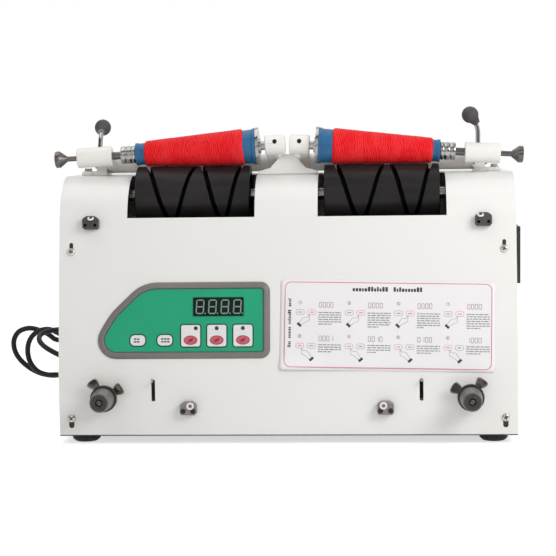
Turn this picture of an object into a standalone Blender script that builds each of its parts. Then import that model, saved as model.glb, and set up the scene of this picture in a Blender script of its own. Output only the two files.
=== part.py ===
"""A two-spindle cone winding machine: a bent sheet casing on four rubber feet, two grooved
drums on one belt-driven shaft, and over each drum a swinging cradle that holds a yarn cone.

Lengths are in metres. X runs to the right, Y away from the front and Z up. The origin is under
the middle of the machine, on the surface that it stands on.
"""

import math

import bmesh
import bpy
import numpy
from mathutils import Euler, Matrix, Vector

# General clearances
SEAT_GAP = 0.0003
RUN_GAP = 0.0004
CUT_OVERRUN = 0.004
UNION_OVERLAP = 0.001
WELD_DISTANCE = 0.00001

# Facets of round pieces
LARGE_SIDES = 28
ROUND_SIDES = 24
SMALL_SIDES = 20
HOLE_SIDES = 14

# Casing: front, rolled top and deck are one bent sheet
CASING_DEPTH = 0.300
DECK_HEIGHT = 0.368
FOLD_HEIGHT = 0.098
TOP_ROLL_RADIUS = 0.070
FRONT_LEAN_DEG = 9.0
SHEET = 0.0018
SIDE_INSET = 0.0010
SIDE_BAY = 0.0945
BASE_THICKNESS = 0.0012
ROLL_STEPS = 9

# Openings over the drums
OPENING_END_GAP = 0.0085
SILL_BELOW_DRUM_AXIS = 0.029
OPENING_REAR_MARGIN = 0.008

# Feet
FOOT_HEIGHT = 0.012
FOOT_RADIUS = 0.0195
FOOT_TREAD_RADIUS = 0.0155
FOOT_EDGE_ROUND = 0.0035
FOOT_SIDE_INSET = 0.031
FOOT_END_INSET = 0.036

# Grooved drums and the shaft that carries them
DRUM_RADIUS = 0.041
DRUM_LENGTH = 0.160
DRUM_AHEAD_OF_ROLL = 0.0105
DRUM_PROUD = 0.013
DRUM_RIM = 0.010
DRUM_HUB_RADIUS = 0.015
DRUM_RECESS = 0.022
DRUM_CHAMFER = 0.0012
DRUM_SIDES = 36
SHAFT_RADIUS = 0.008
TRAVERSE = 0.136
GROOVE_WIDTH = 0.0064
GROOVE_DEPTH = 0.0075
RETURN_GROOVE_WIDTH = 0.0058
RETURN_GROOVE_DEPTH = 0.0060
GROOVE_TURNS = 2
GROOVE_START_DEG = -13.0
GROOVE_SWAY_DEG = 32.0
GROOVE_SHIFT = 0.0015
GROOVE_STEPS_PER_TURN = 16
REVERSAL_SHARPNESS_SHARE = 0.995
GROOVE_LAP_DEG = 4.0
RETURN_LAP_END_DEG = 182.0
RETURN_LAP_START_DEG = 170.0
RETURN_LAP_STEP = 0.0001

# Bearings, belt and motor inside the casing
BEARING_WALL = 0.0135
BEARING_THICKNESS = 0.012
BEARING_NOSE_WALL = 0.006
BEARING_NOSE = 0.006
DRUM_PULLEY_RADIUS = 0.019
MOTOR_PULLEY_RADIUS = 0.012
PULLEY_WIDTH = 0.014
PULLEY_LIP = 0.0025
PULLEY_LIP_WIDTH = 0.002
BELT_THICKNESS = 0.0022
BELT_STEPS = 14
MOTOR_RADIUS = 0.042
MOTOR_LENGTH = 0.105
MOTOR_AHEAD_OF_REAR = 0.110
MOTOR_AXIS_RISE = 0.062
MOTOR_SHAFT_RADIUS = 0.005
MOTOR_SHAFT_LENGTH = 0.020
MOTOR_FOOT_WIDTH = 0.070
MOTOR_FOOT_LENGTH = 0.080
MOTOR_FOOT_THICKNESS = 0.004
MOTOR_NECK_WIDTH = 0.040
MOTOR_PULLEY_GAP = 0.003

# Cones, with their yarn
CONE_LENGTH = 0.170
CONE_SHIFT = 0.003
CONE_TAPER_DEG = 3.2
CONE_SMALL_RADIUS = 0.0147
CONE_WALL = 0.0016
CONE_BEAD_LENGTH = 0.004
CONE_BEAD_HEIGHT = 0.0011
YARN_END_MARGIN = 0.012
YARN_TAIL_MARGIN = 0.017
YARN_THICKNESS = 0.0024
YARN_SHOULDER = 0.0012
CONE_SIDES = 32

# Cradles: pivot sleeve, arms and spindle heads
CRADLE_REACH = 0.064
PIVOT_RISE = 0.0155
PIVOT_ROD_RADIUS = 0.006
SLEEVE_RADIUS = 0.0125
HEAD_RADIUS = 0.014
HEAD_CHAMFER = 0.0012
OUTER_HEAD_LENGTH = 0.0495
INNER_HEAD_LENGTH = 0.0280
INNER_HEAD_GAP = 0.0025
ARM_THICKNESS = 0.012
ARM_EDGE_ROUND = 0.0015
ARM_STEPS = 7
SET_SCREW_RADIUS = 0.0032
SET_SCREW_DEPTH = 0.005
SET_SCREW_RISE = 0.0050
CRADLE_LIFT_DEG = 55.0

# Spindle parts
PLUNGER_RADIUS = 0.0055
PLUNGER_SHOW = 0.0131
PLUNGER_TRAVEL = 0.0120
KNOB_NECK_RADIUS = 0.0037
KNOB_NECK_LENGTH = 0.0145
KNOB_FLARE_LENGTH = 0.0106
KNOB_RIM_RADIUS = 0.0118
KNOB_RIM_LENGTH = 0.0064
SMALL_ADAPTOR_LENGTH = 0.0211
SMALL_ADAPTOR_RADIUS = 0.0125
ADAPTOR_RINGS = 3
SMALL_ADAPTOR_GROOVE = 0.0028
SMALL_ADAPTOR_NOSE = 0.0105
ADAPTOR_NOSE_TIP_SHARE = 0.72
BIG_DISC_RADIUS = 0.0262
BIG_DISC_THICKNESS = 0.0042
BIG_HUB_RADIUS = 0.0105
BIG_HUB_LENGTH = 0.0024
BIG_PLUG_LENGTH = 0.012
SPINDLE_RADIUS = 0.0062
SPINDLE_SHOW = 0.0060
SPINDLE_SOCKET = 0.018
ADAPTOR_BORE_DEPTH = 0.010

# Ball levers on the outer heads
LEVER_RADIUS = 0.0033
LEVER_UPRIGHT = 0.0125
LEVER_BEND = 0.0260
LEVER_OFFSET = 0.0108
BALL_RADIUS = 0.0118
LEVER_SEAT_DEPTH = 0.006
LEVER_STEPS = 9
LEVER_FROM_HEAD_FACE = 0.0185
LEVER_LEANS_DEG = {-1: -27.5, 1: 0.0}
BALL_NECK_RADIUS = 0.0045
BALL_NECK_REACH = 0.0160
BALL_NECK_MEETS_DEG = 38.0

# Pedestals
PEDESTAL_WIDTH = 0.018
PEDESTAL_STEP = 0.0015
PIVOT_ROD_END = 0.002
PEDESTAL_BASE_DEPTH = 0.052
PEDESTAL_BASE_THICKNESS = 0.006
PEDESTAL_HEAD_RADIUS = 0.0125
BELL_NECK_HALF_WIDTH = 0.0080
BELL_HEIGHT = 0.0275
BELL_SHOULDER_HALF_WIDTH = 0.0250
BELL_SHOULDER_HEIGHT = 0.0085
BELL_BASE_HALF_WIDTH = 0.0420
BELL_BASE_HEIGHT = 0.0040
BELL_THICKNESS = 0.014
BELL_FROM_DRUM_AXIS = 0.008

# Control panel
PANEL_WIDTH = 0.2373
PANEL_HEIGHT = 0.1055
PANEL_LEFT = 0.0554
PANEL_ABOVE_FOLD = 0.0207
BEZEL_BORDER = 0.0095
BEZEL_THICKNESS = 0.0040
PANEL_THICKNESS = 0.0022
PANEL_CORNER = 0.013
PANEL_TOP_BEND = 0.051
PANEL_SIDE_BEND = 0.090
PANEL_FOOT_BEND = 0.026
PANEL_CORNER_STEPS = 7
DISPLAY_WIDTH = 0.0694
DISPLAY_HEIGHT = 0.0255
DISPLAY_RIGHT = 0.0363
DISPLAY_TOP = 0.0215
DISPLAY_PROUD = 0.0004
KEY_HEIGHT = 0.0296
KEY_FOOT = 0.0167
KEY_CORNER = 0.0030
KEY_PROUD = 0.0010
KEY_TRAVEL = 0.0008
RECTANGLE_KEY_COUNT = 3
PILL_KEY_COUNT = 2
PILL_HEIGHT = 0.0146
PILL_FOOT = 0.0182
PILL_CORNER = 0.0058

# The panel's slanting left side before its corners are rounded: shares of the panel's width,
# measured from its right edge, and of its height
PANEL_SIDE_SHARES = ((0.743, 1.0), (0.929, 0.597), (1.087, 0.0))

# Sizes and places of the keys, as shares of the panel's width
KEY_WIDTH_SHARE = 0.1107
KEY_PITCH_SHARE = 0.1518
KEY_RIGHT_SHARE = 0.1012
PILL_WIDTH_SHARE = 0.0870
PILL_PITCH_SHARE = 0.1578
PILL_FIRST_SHARE = 0.2318

# Yarn guides
GUIDE_WIDTH = 0.0225
GUIDE_HEIGHT = 0.0180
GUIDE_REACH = 0.0120
GUIDE_CREST = 0.0040
GUIDE_HOLE_RADIUS = 0.0022
GUIDE_HOLE_SPACING = 0.0135
GUIDE_HOLE_FOOT = 0.0050
GUIDE_HOLE_DEPTH = 0.0070
GUIDE_CORNER = 0.0022
GUIDE_EDGE = 0.0008
UPPER_GUIDE_SIDE_INSET = 0.045
UPPER_GUIDE_BELOW_DECK = 0.0635
LOWER_GUIDE_SIDE_INSET = 0.180
LOWER_GUIDE_HEIGHT = 0.0515

# Yarn tensioners
TENSION_SIDE_INSET = 0.065
TENSION_HEIGHT = 0.0668
TENSION_POST_RADIUS = 0.0040
TENSION_PLATE_RADIUS = 0.0160
TENSION_PLATE_THICKNESS = 0.0015
TENSION_EAR_LENGTH = 0.0115
TENSION_EAR_WIDTH = 0.0100
TENSION_EAR_ANGLES_DEG = (31.0, 126.0)
TENSION_BASE_RADIUS = 0.0085
TENSION_BASE_LENGTH = 0.0120
DISC_RADIUS = 0.0182
DISC_STACK = 0.0075
DISC_WAIST_RADIUS = 0.0090
DISC_LIP = 0.0012
KNOB_BACK_RADIUS = 0.0155
KNOB_FRONT_RADIUS = 0.0133
KNOB_LENGTH = 0.034
KNOB_EDGE = 0.0015
KNOB_RECESS_RADIUS = 0.0055
KNOB_RECESS_DEPTH = 0.0030
KNOB_BORE_DEPTH = 0.0200

# Stop levers in their slots
STOP_SLOT_SIDE_INSET = 0.131
STOP_SLOT_FOOT = 0.060
STOP_SLOT_LENGTH = 0.030
STOP_SLOT_WIDTH = 0.0052
STOP_WIRE_RADIUS = 0.0014
STOP_ARM = 0.038
STOP_REACH = 0.011
STOP_HOOK_RISE = 0.0045
STOP_BOSS_RADIUS = 0.0044
STOP_BOSS_LENGTH = 0.008
STOP_PIN_RADIUS = 0.0018
STOP_TAB_THICKNESS = 0.002
STOP_TOP_MARGIN = 0.0010
STOP_TRAVEL_DEG = 28.0

# Side vent
VENT_SIZE = 0.078
VENT_CENTRE_DEPTH = 0.085
VENT_CENTRE_HEIGHT = 0.2545
VENT_THICKNESS = 0.0075
VENT_SLOT_WIDTH = 0.0036
VENT_SLOT_COUNT = 7
VENT_BORDER = 0.009

# Mains lead
CORD_RADIUS = 0.0042
GLAND_RADIUS = 0.0085
GLAND_TAIL_RADIUS = 0.0062
GLAND_FLANGE_RADIUS = 0.0120
GLAND_FLANGE = 0.004
GLAND_LENGTH = 0.026
GLAND_SHOULDER = 0.008
GLAND_BORE_DEPTH = 0.010
GLAND_SIDE_INSET = 0.015
GLAND_HEIGHT = 0.118
COIL_MEAN_RADIUS = 0.041
COIL_PITCH = 0.0100
COIL_LAYER_RISE = 0.0092
COIL_TURNS_PER_LAYER = 1
COIL_STEPS_PER_TURN = 24
COIL_LEFT_OF_MIDDLE = 0.120
COIL_BEHIND_REAR = 0.075
COIL_TAIL = 0.045
PLUG_BODY_LENGTH = 0.036
PLUG_BODY_RADIUS = 0.0165
PLUG_NECK_RADIUS = 0.0070
PLUG_TAIL_LENGTH = 0.016
PLUG_BORE_DEPTH = 0.008
PLUG_EDGE = 0.003
PLUG_PIN_LENGTH = 0.017
PLUG_PIN_RADIUS = 0.0024
PLUG_PIN_SPACING = 0.019
NEAR_STRAND_SHARE = 6.0
COIL_LEAD_IN_SHARES = (0.25, 0.5, 0.75)
COIL_CLIMB_SHARE = 0.25
COIL_TAIL_SHARES = (0.25, 0.5, 0.75, 1.0)
CORD_SIDES_RESOLUTION = 2

# The lead's free stretch by hand, as X, distance behind the rear panel and height:
# out of the gland, a narrow bend, an outer and a middle hanging loop, and down to the floor
CORD_ROUTE = (
    (-0.3000, 0.0173, 0.1180),
    (-0.3000, 0.0320, 0.1180),
    (-0.3015, 0.0480, 0.1176),
    (-0.3080, 0.0630, 0.1170),
    (-0.3205, 0.0740, 0.1163),
    (-0.3370, 0.0795, 0.1158),
    (-0.3560, 0.0800, 0.1155),
    (-0.3750, 0.0795, 0.1155),
    (-0.3930, 0.0755, 0.1150),
    (-0.4065, 0.0655, 0.1132),
    (-0.4130, 0.0515, 0.1095),
    (-0.4115, 0.0375, 0.1028),
    (-0.4020, 0.0270, 0.0950),
    (-0.3875, 0.0225, 0.0868),
    (-0.3700, 0.0225, 0.0783),
    (-0.3525, 0.0260, 0.0706),
    (-0.3350, 0.0335, 0.0648),
    (-0.3210, 0.0455, 0.0608),
    (-0.3145, 0.0615, 0.0580),
    (-0.3180, 0.0790, 0.0555),
    (-0.3300, 0.0930, 0.0530),
    (-0.3470, 0.1010, 0.0493),
    (-0.3670, 0.1035, 0.0450),
    (-0.3951, 0.1030, 0.0378),
    (-0.4125, 0.1030, 0.0379),
    (-0.4297, 0.1030, 0.0426),
    (-0.4460, 0.1030, 0.0524),
    (-0.4592, 0.1030, 0.0653),
    (-0.4666, 0.1030, 0.0801),
    (-0.4671, 0.1030, 0.0956),
    (-0.4605, 0.1030, 0.1077),
    (-0.4498, 0.1030, 0.1135),
    (-0.4378, 0.1030, 0.1148),
    (-0.4242, 0.1030, 0.1113),
    (-0.4100, 0.1030, 0.1045),
    (-0.3955, 0.1030, 0.0952),
    (-0.3730, 0.1023, 0.1000),
    (-0.3535, 0.1015, 0.0965),
    (-0.3320, 0.1003, 0.0925),
    (-0.3120, 0.0990, 0.0845),
    (-0.2975, 0.0975, 0.0705),
    (-0.2920, 0.0960, 0.0530),
    (-0.2975, 0.0945, 0.0375),
    (-0.3120, 0.0932, 0.0275),
    (-0.3315, 0.0920, 0.0250),
    (-0.3515, 0.0912, 0.0285),
    (-0.3710, 0.0907, 0.0350),
    (-0.3936, 0.0905, 0.0400),
    (-0.4108, 0.0905, 0.0401),
    (-0.4274, 0.0905, 0.0464),
    (-0.4385, 0.0905, 0.0607),
    (-0.4423, 0.0905, 0.0777),
    (-0.4399, 0.0905, 0.0933),
    (-0.4319, 0.0905, 0.1058),
    (-0.4183, 0.0905, 0.1134),
    (-0.4042, 0.0905, 0.1140),
    (-0.3905, 0.0900, 0.1078),
    (-0.3760, 0.0875, 0.1050),
    (-0.3620, 0.0815, 0.0930),
    (-0.3530, 0.0730, 0.0765),
    (-0.3475, 0.0650, 0.0585),
    (-0.3395, 0.0600, 0.0415),
    (-0.3265, 0.0555, 0.0275),
    (-0.3080, 0.0495, 0.0175),
    (-0.2870, 0.0430, 0.0105),
    (-0.2645, 0.0370, 0.0060),
    (-0.2390, 0.0320, 0.0045),
    (-0.2100, 0.0295, 0.0045),
)

COLOURS = {
    "white_paint": (0.84, 0.84, 0.82, 1.0),
    "black_paint": (0.03, 0.03, 0.03, 1.0),
    "black_rubber": (0.02, 0.02, 0.02, 1.0),
    "black_bakelite": (0.015, 0.015, 0.017, 1.0),
    "steel": (0.60, 0.60, 0.62, 1.0),
    "chrome": (0.75, 0.75, 0.77, 1.0),
    "dark_steel": (0.16, 0.14, 0.15, 1.0),
    "grey_plastic": (0.24, 0.24, 0.25, 1.0),
    "bezel_grey": (0.33, 0.31, 0.31, 1.0),
    "panel_green": (0.05, 0.42, 0.25, 1.0),
    "display_black": (0.01, 0.03, 0.04, 1.0),
    "key_white": (0.85, 0.85, 0.85, 1.0),
    "cone_blue": (0.03, 0.18, 0.42, 1.0),
    "yarn_red": (0.80, 0.02, 0.03, 1.0),
}
FINISHES = {
    "white_paint": (0.40, 0.0),
    "black_paint": (0.50, 0.0),
    "black_rubber": (0.80, 0.0),
    "black_bakelite": (0.35, 0.0),
    "steel": (0.35, 1.0),
    "chrome": (0.12, 1.0),
    "dark_steel": (0.40, 0.8),
    "grey_plastic": (0.50, 0.0),
    "bezel_grey": (0.45, 0.0),
    "panel_green": (0.40, 0.0),
    "display_black": (0.15, 0.0),
    "key_white": (0.45, 0.0),
    "cone_blue": (0.40, 0.0),
    "yarn_red": (0.85, 0.0),
}


# Values worked out from the sizes above
LEAN = math.radians(FRONT_LEAN_DEG)
TAPER = math.radians(CONE_TAPER_DEG)
QUARTER_TURN = math.pi / 2
BASE_TOP = FOOT_HEIGHT + BASE_THICKNESS
ROLL_HEIGHT = DECK_HEIGHT - TOP_ROLL_RADIUS
TANGENT_HEIGHT = ROLL_HEIGHT + TOP_ROLL_RADIUS * math.sin(LEAN)
ROLL_DEPTH = (TANGENT_HEIGHT - FOLD_HEIGHT) * math.tan(LEAN) + TOP_ROLL_RADIUS * math.cos(LEAN)

# Along a spindle, measured outward from the middle of its cone
CONE_END = CONE_LENGTH / 2
BIG_DISC_FACE = CONE_END + SEAT_GAP
INNER_HEAD_FACE = BIG_DISC_FACE + BIG_DISC_THICKNESS + BIG_HUB_LENGTH + SPINDLE_SHOW
INNER_HEAD_END = INNER_HEAD_FACE + INNER_HEAD_LENGTH
SMALL_ADAPTOR_END = CONE_END + SEAT_GAP + SMALL_ADAPTOR_LENGTH
OUTER_HEAD_FACE = SMALL_ADAPTOR_END + PLUNGER_SHOW
OUTER_HEAD_END = OUTER_HEAD_FACE + OUTER_HEAD_LENGTH
KNOB_START = OUTER_HEAD_END + RUN_GAP
KNOB_TIP = KNOB_START + KNOB_NECK_LENGTH + KNOB_FLARE_LENGTH + KNOB_RIM_LENGTH
HEAD_SLANT = HEAD_RADIUS * math.sin(TAPER)
SPINDLE_MID = INNER_HEAD_GAP + HEAD_SLANT + INNER_HEAD_END * math.cos(TAPER)
CONE_MID_RADIUS = CONE_SMALL_RADIUS + CONE_END * math.tan(TAPER)
YARN_MID_RADIUS = CONE_MID_RADIUS + YARN_THICKNESS

# Across the machine, from its middle
DRUM_MID = SPINDLE_MID + CONE_SHIFT
OPENING_INNER = DRUM_MID - DRUM_LENGTH / 2 - OPENING_END_GAP
OPENING_OUTER = DRUM_MID + DRUM_LENGTH / 2 + OPENING_END_GAP
HALF_WIDTH = OPENING_OUTER + SIDE_BAY
SIDE_PLATE_OUTER = HALF_WIDTH - SIDE_INSET
SIDE_PLATE_INNER = SIDE_PLATE_OUTER - SHEET
INNER_ARM_OUTER = SPINDLE_MID - INNER_HEAD_FACE * math.cos(TAPER) - HEAD_SLANT - UNION_OVERLAP
INNER_ARM_MID = INNER_ARM_OUTER - ARM_THICKNESS / 2
OUTER_ARM_MID = (
    SPINDLE_MID + OUTER_HEAD_FACE * math.cos(TAPER) + HEAD_SLANT + UNION_OVERLAP + ARM_THICKNESS / 2
)
SLEEVE_INNER = INNER_ARM_MID - ARM_THICKNESS / 2 - UNION_OVERLAP
SLEEVE_OUTER = OUTER_ARM_MID + ARM_THICKNESS / 2 + UNION_OVERLAP
PEDESTAL_INNER = SLEEVE_OUTER + RUN_GAP
PEDESTAL_OUTER = PEDESTAL_INNER + PEDESTAL_WIDTH

# From the front to the back, with the machine's box centred over the origin
TENSION_REACH = (
    SEAT_GAP + TENSION_BASE_LENGTH + TENSION_PLATE_THICKNESS + DISC_STACK + KNOB_LENGTH + 2 * RUN_GAP
)
FRONT_Y = (TENSION_REACH - CASING_DEPTH) / 2
REAR_Y = FRONT_Y + CASING_DEPTH
DRUM_Y = FRONT_Y + ROLL_DEPTH - DRUM_AHEAD_OF_ROLL
DRUM_Z = DECK_HEIGHT + DRUM_PROUD - DRUM_RADIUS
SILL_Z = DRUM_Z - SILL_BELOW_DRUM_AXIS
PIVOT_Y = DRUM_Y + CRADLE_REACH
PIVOT_Z = DECK_HEIGHT + PIVOT_RISE
SPINDLE_Z = DRUM_Z + DRUM_RADIUS + SEAT_GAP + YARN_MID_RADIUS * math.cos(TAPER)
MOTOR_Y = REAR_Y - MOTOR_AHEAD_OF_REAR
MOTOR_Z = BASE_TOP + MOTOR_AXIS_RISE
PANEL_RIGHT = PANEL_LEFT + PANEL_WIDTH - HALF_WIDTH


def clear_scene():
    for thing in list(bpy.data.objects):
        bpy.data.objects.remove(thing, do_unlink=True)


def new_collection(name):
    collection = bpy.data.collections.new(name)
    bpy.context.scene.collection.children.link(collection)
    return collection


def paint(thing, look):
    """Gives an object a Principled material of its own, made from one row of the colour tables."""
    material = bpy.data.materials.new(thing.name + "_" + look)
    material.use_nodes = True
    shader = material.node_tree.nodes["Principled BSDF"]
    roughness, metallic = FINISHES[look]
    shader.inputs["Base Color"].default_value = COLOURS[look]
    shader.inputs["Roughness"].default_value = roughness
    shader.inputs["Metallic"].default_value = metallic
    material.diffuse_color = COLOURS[look]
    thing.data.materials.clear()
    thing.data.materials.append(material)


def add_object(name, mesh, look, frame=None):
    """Puts a mesh into the parts collection, or among the cutters when it has no look."""
    thing = bpy.data.objects.new(name, mesh)
    if frame is not None:
        thing.matrix_world = frame
    if look is None:
        CUTTERS.objects.link(thing)
        thing.hide_render = True
        thing.display_type = "WIRE"
    else:
        PARTS.objects.link(thing)
        paint(thing, look)
    return thing


def shade_round(thing, sharp_deg=35.0):
    for face in thing.data.polygons:
        face.use_smooth = True
    thing.data.set_sharp_from_angle(angle=math.radians(sharp_deg))


def weld(mesh):
    """Merges the doubled edges of a converted curve and turns all its faces outward."""
    work = bmesh.new()
    work.from_mesh(mesh)
    bmesh.ops.remove_doubles(work, verts=work.verts, dist=WELD_DISTANCE)
    bmesh.ops.recalc_face_normals(work, faces=work.faces)
    work.to_mesh(mesh)
    work.free()


def mesh_of_curve(name, curve):
    """Turns a curve into a closed mesh and removes the curve."""
    helper = bpy.data.objects.new(name, curve)
    bpy.context.scene.collection.objects.link(helper)
    graph = bpy.context.evaluated_depsgraph_get()
    mesh = bpy.data.meshes.new_from_object(helper.evaluated_get(graph))
    bpy.data.objects.remove(helper, do_unlink=True)
    weld(mesh)
    return mesh


def settle(thing):
    """Applies an object's modifiers, so that its mesh is the finished shape."""
    graph = bpy.context.evaluated_depsgraph_get()
    mesh = bpy.data.meshes.new_from_object(thing.evaluated_get(graph))
    thing.modifiers.clear()
    old = thing.data
    thing.data = mesh
    bpy.data.meshes.remove(old)
    return thing


def box(name, low, high, look=None):
    """A box between two opposite corners."""
    mesh = bpy.data.meshes.new(name)
    work = bmesh.new()
    bmesh.ops.create_cube(work, size=1.0)
    for vertex in work.verts:
        for axis in range(3):
            share = vertex.co[axis] + 0.5
            vertex.co[axis] = low[axis] + share * (high[axis] - low[axis])
    work.to_mesh(mesh)
    work.free()
    return add_object(name, mesh, look)


def turned(name, profile, frame, sides, look=None):
    """A turned piece about the frame's Z: radius and height pairs that run down its outer side."""
    mesh = bpy.data.meshes.new(name)
    points = [(radius, 0.0, height) for radius, height in profile]
    edges = [(index, index + 1) for index in range(len(points) - 1)]
    if profile[0][0] > 0.0:
        edges.append((len(points) - 1, 0))
    mesh.from_pydata(points, edges, [])
    thing = add_object(name, mesh, look, frame)
    screw = thing.modifiers.new("Turn", "SCREW")
    screw.axis = "Z"
    screw.steps = sides
    screw.render_steps = sides
    screw.use_merge_vertices = True
    screw.merge_threshold = WELD_DISTANCE
    settle(thing)
    shade_round(thing)
    return thing


def rod(name, radius, start, end, frame, sides, look=None):
    """A plain cylinder along the frame's Z, from one height to a greater one."""
    return turned(name, [(0.0, end), (radius, end), (radius, start), (0.0, start)], frame, sides, look)


def slab(name, outlines, start, end, frame, look=None, edge=0.0):
    """A plate in the frame's XY between two heights; the outlines after the first are holes."""
    curve = bpy.data.curves.new(name, "CURVE")
    curve.dimensions = "2D"
    curve.fill_mode = "BOTH"
    curve.extrude = (end - start) / 2 - edge
    curve.bevel_depth = edge
    curve.bevel_resolution = 0
    curve.offset = -edge
    for outline in outlines:
        spline = curve.splines.new("POLY")
        spline.points.add(len(outline) - 1)
        for point, place in zip(spline.points, outline):
            point.co = (place[0], place[1], 0.0, 1.0)
        spline.use_cyclic_u = True
    mesh = mesh_of_curve(name, curve)
    mesh.transform(Matrix.Translation((0.0, 0.0, (start + end) / 2)))
    thing = add_object(name, mesh, look, frame)
    shade_round(thing)
    return thing


def tube(name, points, radius, look=None, resolution=2):
    """A round tube with closed ends along a chain of points."""
    curve = bpy.data.curves.new(name, "CURVE")
    curve.dimensions = "3D"
    curve.bevel_depth = radius
    curve.bevel_resolution = resolution
    curve.use_fill_caps = True
    spline = curve.splines.new("POLY")
    spline.points.add(len(points) - 1)
    for point, place in zip(spline.points, points):
        point.co = (place[0], place[1], place[2], 1.0)
    mesh = mesh_of_curve(name, curve)
    thing = add_object(name, mesh, look)
    shade_round(thing)
    return thing


def combine(target, other, operation):
    boolean = target.modifiers.new(operation.title(), "BOOLEAN")
    boolean.operation = operation
    boolean.solver = "EXACT"
    boolean.object = other
    settle(target)
    shade_round(target)


def cut(target, cutter):
    combine(target, cutter, "DIFFERENCE")


def join(target, other):
    combine(target, other, "UNION")


def place_origin(thing, frame):
    """Moves an object's origin and axes to the frame and leaves its shape where it is."""
    thing.data.transform(frame.inverted() @ thing.matrix_world)
    thing.matrix_world = frame


def at(x, y, z):
    return Matrix.Translation((x, y, z))


def across(x, y, z):
    """A frame whose Z runs along the machine's X, for shafts, sleeves and drums."""
    return at(x, y, z) @ Euler((0.0, QUARTER_TURN, 0.0)).to_matrix().to_4x4()


def side_view(x, y=0.0, z=0.0):
    """A frame whose X is the machine's depth and whose Y is its height."""
    turn = Matrix(((0.0, 0.0, 1.0), (1.0, 0.0, 0.0), (0.0, 1.0, 0.0)))
    return at(x, y, z) @ turn.to_4x4()


def front_view(x, y, z, lean=0.0):
    """A frame on a front face: X to the right, Y up the face and Z out of it."""
    return at(x, y, z) @ Euler((QUARTER_TURN - lean, 0.0, 0.0)).to_matrix().to_4x4()


def on_front(x, height):
    """The frame on the casing's outer front face at a height, leaning above the fold."""
    if height < FOLD_HEIGHT:
        return front_view(x, FRONT_Y, height)
    return front_view(x, FRONT_Y + (height - FOLD_HEIGHT) * math.tan(LEAN), height, LEAN)


def spindle_frame(side, along=0.0):
    """A frame on a spindle's axis, Z pointing outward, at a distance from the cone's middle."""
    turn = Euler((0.0, side * (QUARTER_TURN + TAPER), 0.0)).to_matrix().to_4x4()
    return at(side * SPINDLE_MID, DRUM_Y, SPINDLE_Z) @ turn @ at(0.0, 0.0, along)


def arc(centre, radius, first_angle, last_angle, steps):
    """Points on an arc, both ends included."""
    points = []
    for step in range(steps + 1):
        angle = first_angle + (last_angle - first_angle) * step / steps
        points.append((centre[0] + radius * math.cos(angle), centre[1] + radius * math.sin(angle)))
    return points


def link_outline(first, first_radius, second, second_radius, steps):
    """The outline of a band stretched round two circles."""
    offset = Vector(second) - Vector(first)
    heading = math.atan2(offset.y, offset.x)
    spread = math.acos((first_radius - second_radius) / offset.length)
    points = arc(first, first_radius, heading + spread, heading - spread + 2 * math.pi, steps)
    points += arc(second, second_radius, heading - spread, heading + spread, steps)
    return points


def inset_corners(corners, distance):
    """The corners of a convex outline that runs anticlockwise, moved inward by a distance."""
    moved = []
    count = len(corners)
    for index in range(count):
        before = Vector(corners[index - 1])
        here = Vector(corners[index])
        after = Vector(corners[(index + 1) % count])
        first = (here - before).normalized()
        second = (after - here).normalized()
        inward = Vector((-first.y, first.x)) + Vector((-second.y, second.x))
        reach = distance / (1.0 + first.dot(second))
        moved.append(tuple(here + inward * reach))
    return moved


def rounded(corners, radii, steps):
    """Rounds each corner of a convex anticlockwise outline with its own radius."""
    points = []
    count = len(corners)
    for index in range(count):
        here = Vector(corners[index])
        back = (Vector(corners[index - 1]) - here).normalized()
        ahead = (Vector(corners[(index + 1) % count]) - here).normalized()
        half = back.angle(ahead) / 2
        centre = here + (back + ahead).normalized() * (radii[index] / math.sin(half))
        start = here + back * (radii[index] / math.tan(half)) - centre
        end = here + ahead * (radii[index] / math.tan(half)) - centre
        first_angle = math.atan2(start.y, start.x)
        turn = (math.atan2(end.y, end.x) - first_angle) % (2 * math.pi)
        points += arc(centre, radii[index], first_angle, first_angle + turn, steps)
    return points


def rectangle(width, height, foot=0.0):
    """An anticlockwise rectangle centred on X whose lower edge is at a height."""
    return [
        (-width / 2, foot),
        (width / 2, foot),
        (width / 2, foot + height),
        (-width / 2, foot + height),
    ]


def skin_line(inset, foot):
    """The casing's front, roll and deck line, set in from its outer face, from the foot back."""
    fold_shift = inset * math.tan(LEAN / 2)
    line = [(inset, foot), (inset, FOLD_HEIGHT - fold_shift)]
    radius = TOP_ROLL_RADIUS - inset
    line += arc((ROLL_DEPTH, ROLL_HEIGHT), radius, math.pi - LEAN, QUARTER_TURN, ROLL_STEPS)
    return line


def make_casing():
    foot = BASE_TOP + SEAT_GAP
    outer = skin_line(0.0, foot) + [(CASING_DEPTH, DECK_HEIGHT)]
    inner = skin_line(SHEET, foot) + [(CASING_DEPTH, DECK_HEIGHT - SHEET)]
    outline = outer + list(reversed(inner))
    casing = slab(
        "front_casing", [outline], -HALF_WIDTH, HALF_WIDTH, side_view(0.0, FRONT_Y), "white_paint"
    )
    for side in (-1, 1):
        reach = sorted((side * OPENING_INNER, side * OPENING_OUTER))
        opening = box(
            "opening_cutter",
            (reach[0], FRONT_Y - CUT_OVERRUN, SILL_Z),
            (reach[1], DRUM_Y + DRUM_RADIUS + OPENING_REAR_MARGIN, DECK_HEIGHT + CUT_OVERRUN),
        )
        cut(casing, opening)
        slot_mid = side * (HALF_WIDTH - STOP_SLOT_SIDE_INSET)
        slot = rounded(
            rectangle(STOP_SLOT_WIDTH, STOP_SLOT_LENGTH, STOP_SLOT_FOOT),
            [STOP_WIRE_RADIUS] * 4,
            2,
        )
        slot_cutter = slab(
            "slot_cutter",
            [slot],
            -SHEET - CUT_OVERRUN,
            CUT_OVERRUN,
            front_view(slot_mid, FRONT_Y, 0.0),
        )
        cut(casing, slot_cutter)
        add_stop_pin(casing, slot_mid)
    place_origin(casing, at(0.0, FRONT_Y, 0.0))


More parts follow.
